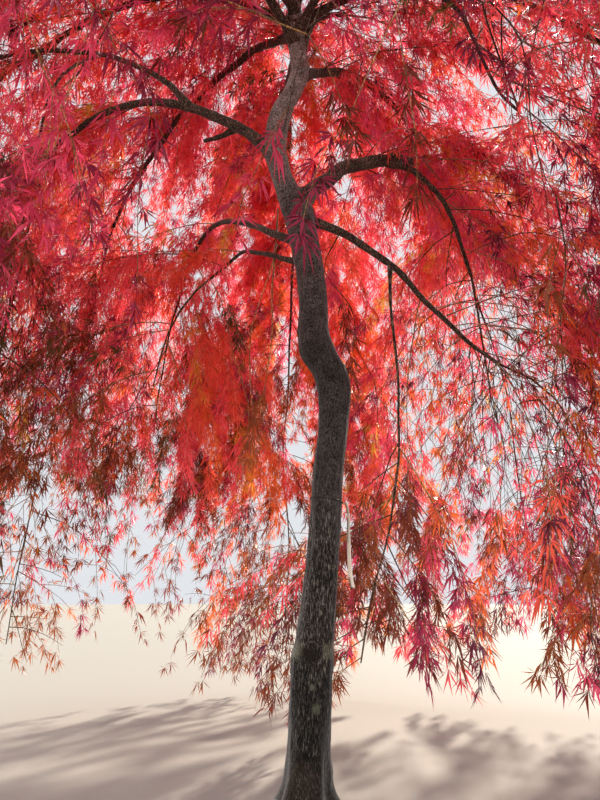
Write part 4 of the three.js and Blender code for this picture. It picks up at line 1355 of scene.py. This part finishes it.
def trunk_place(along, turn):
    """Where a corner of the grid goes. The rows lie closer together low down, where more is seen."""
    z = TRUNK_TOP * (0.35 * along * along + 0.65 * along)
    middle = trunk_middle(z)
    radius = trunk_surface(z, turn)
    return Vector((middle[0] + radius * math.cos(turn), middle[1] + radius * math.sin(turn), z))


mesh = bmesh.new()
rolled_bark(mesh, TRUNK_COLUMNS, TRUNK_ROWS, trunk_place)
trunk_bark = finished("trunk_bark", mesh, old_bark)

# %% The limbs' bark
LIMB_COLUMNS = 12
LIMB_ROW_SPACING = 0.02
FEWEST_LIMB_ROWS = 8
LIMB_COLLAR = (0.7, 0.03, 0.035)  # share of the radius, how far it is full, and how it fades
JOINT_SPACING = 0.13  # between the rings that old buds leave
JOINT_SWELL = 0.14
JOINT_HALF_LENGTH = 0.012
LIMB_RELIEF = 0.0008
NO_LIMBS_WAY = Vector((0.31, 0.45, 0.84))  # a direction that no limb takes, to turn the rings from
# where old limbs were cut off: seed, depths, radii in mm and pixels
STUBS = [
    (7, 0.22, 0.26, 24, 17, [(392, 160), (400, 160), (413, 162)]),
    (9, 0.06, 0.12, 12, 9, [(238, 127), (222, 136), (204, 141)]),
]
FEWEST_STUB_ROWS = 6
STUB_ROW_SPACING = 0.006


def limb_place(path, radii, seed):
    stations = np.linspace(0, 1, len(path))
    table = np.column_stack([stations, path, radii])
    length = length_of(path)

    def place(along, turn):
        row = smooth_row(table, along)
        before, after = smooth_row(table, max(0, along - 0.01)), smooth_row(table, min(1, along + 0.01))
        ahead = Vector(after[1:4] - before[1:4]).normalized()
        across = ahead.cross(NO_LIMBS_WAY).normalized()
        up = ahead.cross(across)
        gone = along * length
        swell, full, fade = LIMB_COLLAR
        radius = row[4] * (1 + swell * math.exp(-max(0, gone - full) / fade))
        joint = abs(math.remainder(gone + seed * 0.03, JOINT_SPACING))
        radius *= 1 + JOINT_SWELL * math.exp(-((joint / JOINT_HALF_LENGTH) ** 2))
        place_on_bark = Vector((math.cos(turn), math.sin(turn) + seed, gone * 30))
        radius += LIMB_RELIEF * noise.fractal(place_on_bark, 0.8, 2.0, 3)
        return Vector(row[1:4]) + across * radius * math.cos(turn) + up * radius * math.sin(turn)

    return place, length


mesh = bmesh.new()
for seed, (path, radii, _) in enumerate(limbs.values()):
    place, length = limb_place(path, radii, seed)
    rolled_bark(mesh, LIMB_COLUMNS, max(FEWEST_LIMB_ROWS, round(length / LIMB_ROW_SPACING)), place)
for seed, first, last, butt, tip, pixels in STUBS:
    path = seen_path(first, last, pixels)
    place, length = limb_place(path, np.linspace(butt, tip, len(path)) * MM, seed)
    rolled_bark(mesh, LIMB_COLUMNS, max(FEWEST_STUB_ROWS, round(length / STUB_ROW_SPACING)), place)
limb_bark = finished("limb_bark", mesh, young_bark)

# %% The shoots and twigs
PAINTED_SUNLIT_SIDE = -0.1  # left of here the shoots get a pale tan bark as painted sunlight
PAINTED_SUNLIT_CHANGED_EVERY = 4  # but every fourth shoot is the other way
SHOOT_TIP_RADIUS = 0.0012
TWIG_BUTT_RADIUS = 0.0019
TWIG_TIP_RADIUS = 0.0009
STEM_RINGS = 24
STEM_RADII = (0.0075, 0.0035)
is_painted_sunlit = middles_of(shoots, shoot_counts)[:, 0] < PAINTED_SUNLIT_SIDE
is_painted_sunlit[::PAINTED_SUNLIT_CHANGED_EVERY] = ~is_painted_sunlit[::PAINTED_SUNLIT_CHANGED_EVERY]
wood_pieces = []


def wood_from(name, paths, counts, butts, tip, finish):
    corners, triangles = twig_arrays(paths, counts, butts, tip)
    piece = mesh_from_arrays(name, corners, triangles)
    piece.data.materials.append(finish)
    wood_pieces.append(piece)
    print(name, len(triangles), "triangles")


for name, chosen, finish in [("shoots", ~is_painted_sunlit, shoot_bark), ("tan_shoots", is_painted_sunlit, painted_sunlit_bark)]:
    wood_from(name, shoots[chosen], shoot_counts[chosen], shoot_radii[chosen], SHOOT_TIP_RADIUS, finish)
for name, chosen, finish in [("twigs", ~is_painted_sunlit, twig_bark), ("tan_twigs", is_painted_sunlit, painted_sunlit_bark)]:
    chosen = chosen[twig_shoot]
    butts = np.full(chosen.sum(), TWIG_BUTT_RADIUS)
    wood_from(name, twigs[chosen, ::2], (twig_counts[chosen] + 1) // 2, butts, TWIG_TIP_RADIUS, finish)
places = np.linspace(0, 1, STEM_RINGS)
stem_paths = np.array([[share_of(path, place) for place in places] for path in stems.values()])
rings, butts = np.full(len(stem_paths), STEM_RINGS), np.full(len(stem_paths), STEM_RADII[0])
wood_from("stems", stem_paths, rings, butts, STEM_RADII[1], shoot_bark)

# %% [markdown]
# ## The tie
#
# A thin black wire is drawn round the trunk a little under a metre up, and a plain pale strip of film hangs
# from it. The wire is a torus that lies in the bark's surface. The strip is a thin band that leaves the wire
# outwards, turns over and hangs, a little bowed, and its lower end turns its flat side to the front.

# %% The wire
TIE_HEIGHT = 0.935
TIE_WIRE = 0.003
TIE_PROUD = 0.0012  # the wire's middle stands this far off the bark
TIE_TILT = 0.14  # the wire slopes down to the right
tie_middle = trunk_middle(TIE_HEIGHT)
tie_radius = trunk_surface(TIE_HEIGHT, 0)
tie_side = tie_middle[0] + tie_radius
tie_right_height = TIE_HEIGHT - TIE_TILT * tie_radius
mesh = bmesh.new()
ring = bmesh.ops.create_circle(mesh, segments=6, radius=TIE_WIRE)["verts"]
for corner in ring:
    corner.co = Vector((tie_middle[0] + tie_radius + corner.co.x, tie_middle[1], TIE_HEIGHT + corner.co.y))
bmesh.ops.spin(mesh, geom=list(mesh.edges), cent=tie_middle, axis=(0, 0, 1), angle=2 * math.pi, steps=64,
               use_merge=True)
for corner in mesh.verts:
    x, y = corner.co.x - tie_middle[0], corner.co.y - tie_middle[1]
    turn = math.atan2(y, x)
    corner.co.z -= TIE_TILT * x
    radius = trunk_surface(corner.co.z, turn) + math.hypot(x, y) - tie_radius + TIE_PROUD
    corner.co.x = tie_middle[0] + radius * math.cos(turn)
    corner.co.y = tie_middle[1] + radius * math.sin(turn)


def plain_finish(name, hex_colour, roughness):
    material = new_material(name)
    inputs = {"Base Color": linear(hex_colour), "Roughness": roughness}
    surface = add_node(material, "BsdfPrincipled", inputs, "BSDF")
    add_node(material, "OutputMaterial", {"Surface": surface})
    return material


# black plastic over wire: smooth, with a soft gloss
tie = finished("tie", mesh, plain_finish("black_plastic", "#141312", 0.5))

# %% The strip
STRIP_WIDTH = 0.016
STRIP_LENGTH = 0.31
STRIP_THICKNESS = 0.0009
STRIP_STANDS_OFF = 0.027
STRIP_TURNS_OVER = 0.02  # within about this length
STRIP_BOW = 0.006
STRIP_KICK = 0.005
STRIP_KICKS_FROM = 0.88  # share of its length
STRIP_TURNS = (25, 50)  # degrees at the wire, and more along it
STRIP_KNOT = 0.012  # length that lies on the wire


def strip_place(along, across):
    """The band stands off the wire, turns over and hangs, with its lower end kicked outwards."""
    gone = along * STRIP_LENGTH
    out = STRIP_STANDS_OFF * (1 - math.exp(-gone / STRIP_TURNS_OVER)) - STRIP_BOW * math.sin(math.pi * along)
    out += STRIP_KICK * max(0, along - STRIP_KICKS_FROM) / (1 - STRIP_KICKS_FROM)
    turn = math.radians(STRIP_TURNS[0] + STRIP_TURNS[1] * along)
    x = tie_side + out + across * STRIP_WIDTH / 2 * math.sin(turn)
    y = tie_middle[1] - across * STRIP_WIDTH / 2 * math.cos(turn)
    return Vector((x, y, tie_right_height - max(0, gone - STRIP_KNOT)))


mesh = bmesh.new()
band = bmesh.ops.create_grid(mesh, x_segments=2, y_segments=40, size=1.0)["verts"]
for corner in band:
    corner.co = strip_place((corner.co.y + 1) / 2, corner.co.x)
bmesh.ops.solidify(mesh, geom=list(mesh.faces), thickness=STRIP_THICKNESS)
# weathered plastic film: pale, and a little glossier than the wire
strip = finished("strip", mesh, plain_finish("pale_film", "#b8a896", 0.4))

# %% Riding and replacing
for piece in (tie, strip):
    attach(piece, "root")
    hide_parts("trunk_tie")
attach(trunk_bark, "root")
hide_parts("trunk")
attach(limb_bark, "root")
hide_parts(*limb_nodes)
for piece in wood_pieces:
    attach(piece, "root")
    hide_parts(*mass_nodes)
for piece in leaf_pieces:
    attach(piece, "root")
    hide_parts(*mass_nodes)
print(len(wood_pieces), "pieces of wood and", len(leaf_pieces), "of leaves replace the masses")

# %% [markdown]
# ## Floor, light and camera
#
# The floor and the sky are plain and pale, as in a studio. The sun is behind the crown, to the right, so that
# the leaves glow with light that comes through them. A wide soft lamp in front keeps the bark from going
# black, and two weaker suns fill the sides.

# %% The floor and the sky
FLOOR_RADIUS = 40
SKY_COLOUR = "#e9edf2"
SKY_STRENGTH = 0.95
mesh = bmesh.new()
bmesh.ops.create_circle(mesh, cap_ends=True, segments=96, radius=FLOOR_RADIUS)
floor = finished("floor", mesh, plain_finish("pale_floor", "#868480", 0.9), smooth=False)  # matt paint

world = bpy.data.worlds.new("sky")
world.use_nodes = True
world.node_tree.nodes["Background"].inputs["Color"].default_value = linear(SKY_COLOUR)
world.node_tree.nodes["Background"].inputs["Strength"].default_value = SKY_STRENGTH
bpy.context.scene.world = world

# %% The lamps
LAMPS = [  # name, kind, place, height aimed at, energy, size and colour
    ("back_light", "SUN", (4.5, 8.0, 7.0), 2.0, 10.5, 3, "#fff1dc"),
    ("side_light", "SUN", (-8.0, 4.0, 4.0), 2.0, 4.0, 8, "#fff8ee"),
    ("front_light", "AREA", (-0.5, -8.5, 2.2), 2.2, 850, 4.0, "#ffffff"),
    ("right_light", "SUN", (8.0, 1.5, 3.5), 2.0, 1.2, 20, "#fff8ee"),
]


def lamp(name, kind, place, aim_height, energy, size, hex_colour):
    """A soft lamp that the camera doesn't see. A sun's size is in degrees, an area's is in metres."""
    data = bpy.data.lights.new(name, kind)
    data.energy = energy
    data.color = linear(hex_colour)[:3]
    if kind == "SUN":
        data.angle = math.radians(size)
    else:
        data.size = size
    lamp_object = bpy.data.objects.new(name, data)
    lamp_object.visible_camera = False
    lamp_object.location = place
    aim = Vector((0, 0, aim_height)) - Vector(place)
    lamp_object.rotation_euler = aim.to_track_quat("-Z", "Y").to_euler()
    bpy.context.scene.collection.objects.link(lamp_object)


for row in LAMPS:
    lamp(*row)
print(len(LAMPS), "lamps")

# %% The camera
camera_data = bpy.data.cameras.new("camera")
camera_data.sensor_fit = "VERTICAL"
camera_data.sensor_height = SENSOR_HEIGHT
camera_data.lens = LENS
camera = bpy.data.objects.new("camera", camera_data)
camera.location = CAMERA_PLACE
camera.rotation_euler = (math.radians(90 + CAMERA_PITCH), 0, 0)
bpy.context.scene.collection.objects.link(camera)
bpy.context.scene.camera = camera
bpy.context.scene.view_settings.view_transform = "Standard"
print("camera", list(camera.location), "m,", CAMERA_PITCH, "degrees up")
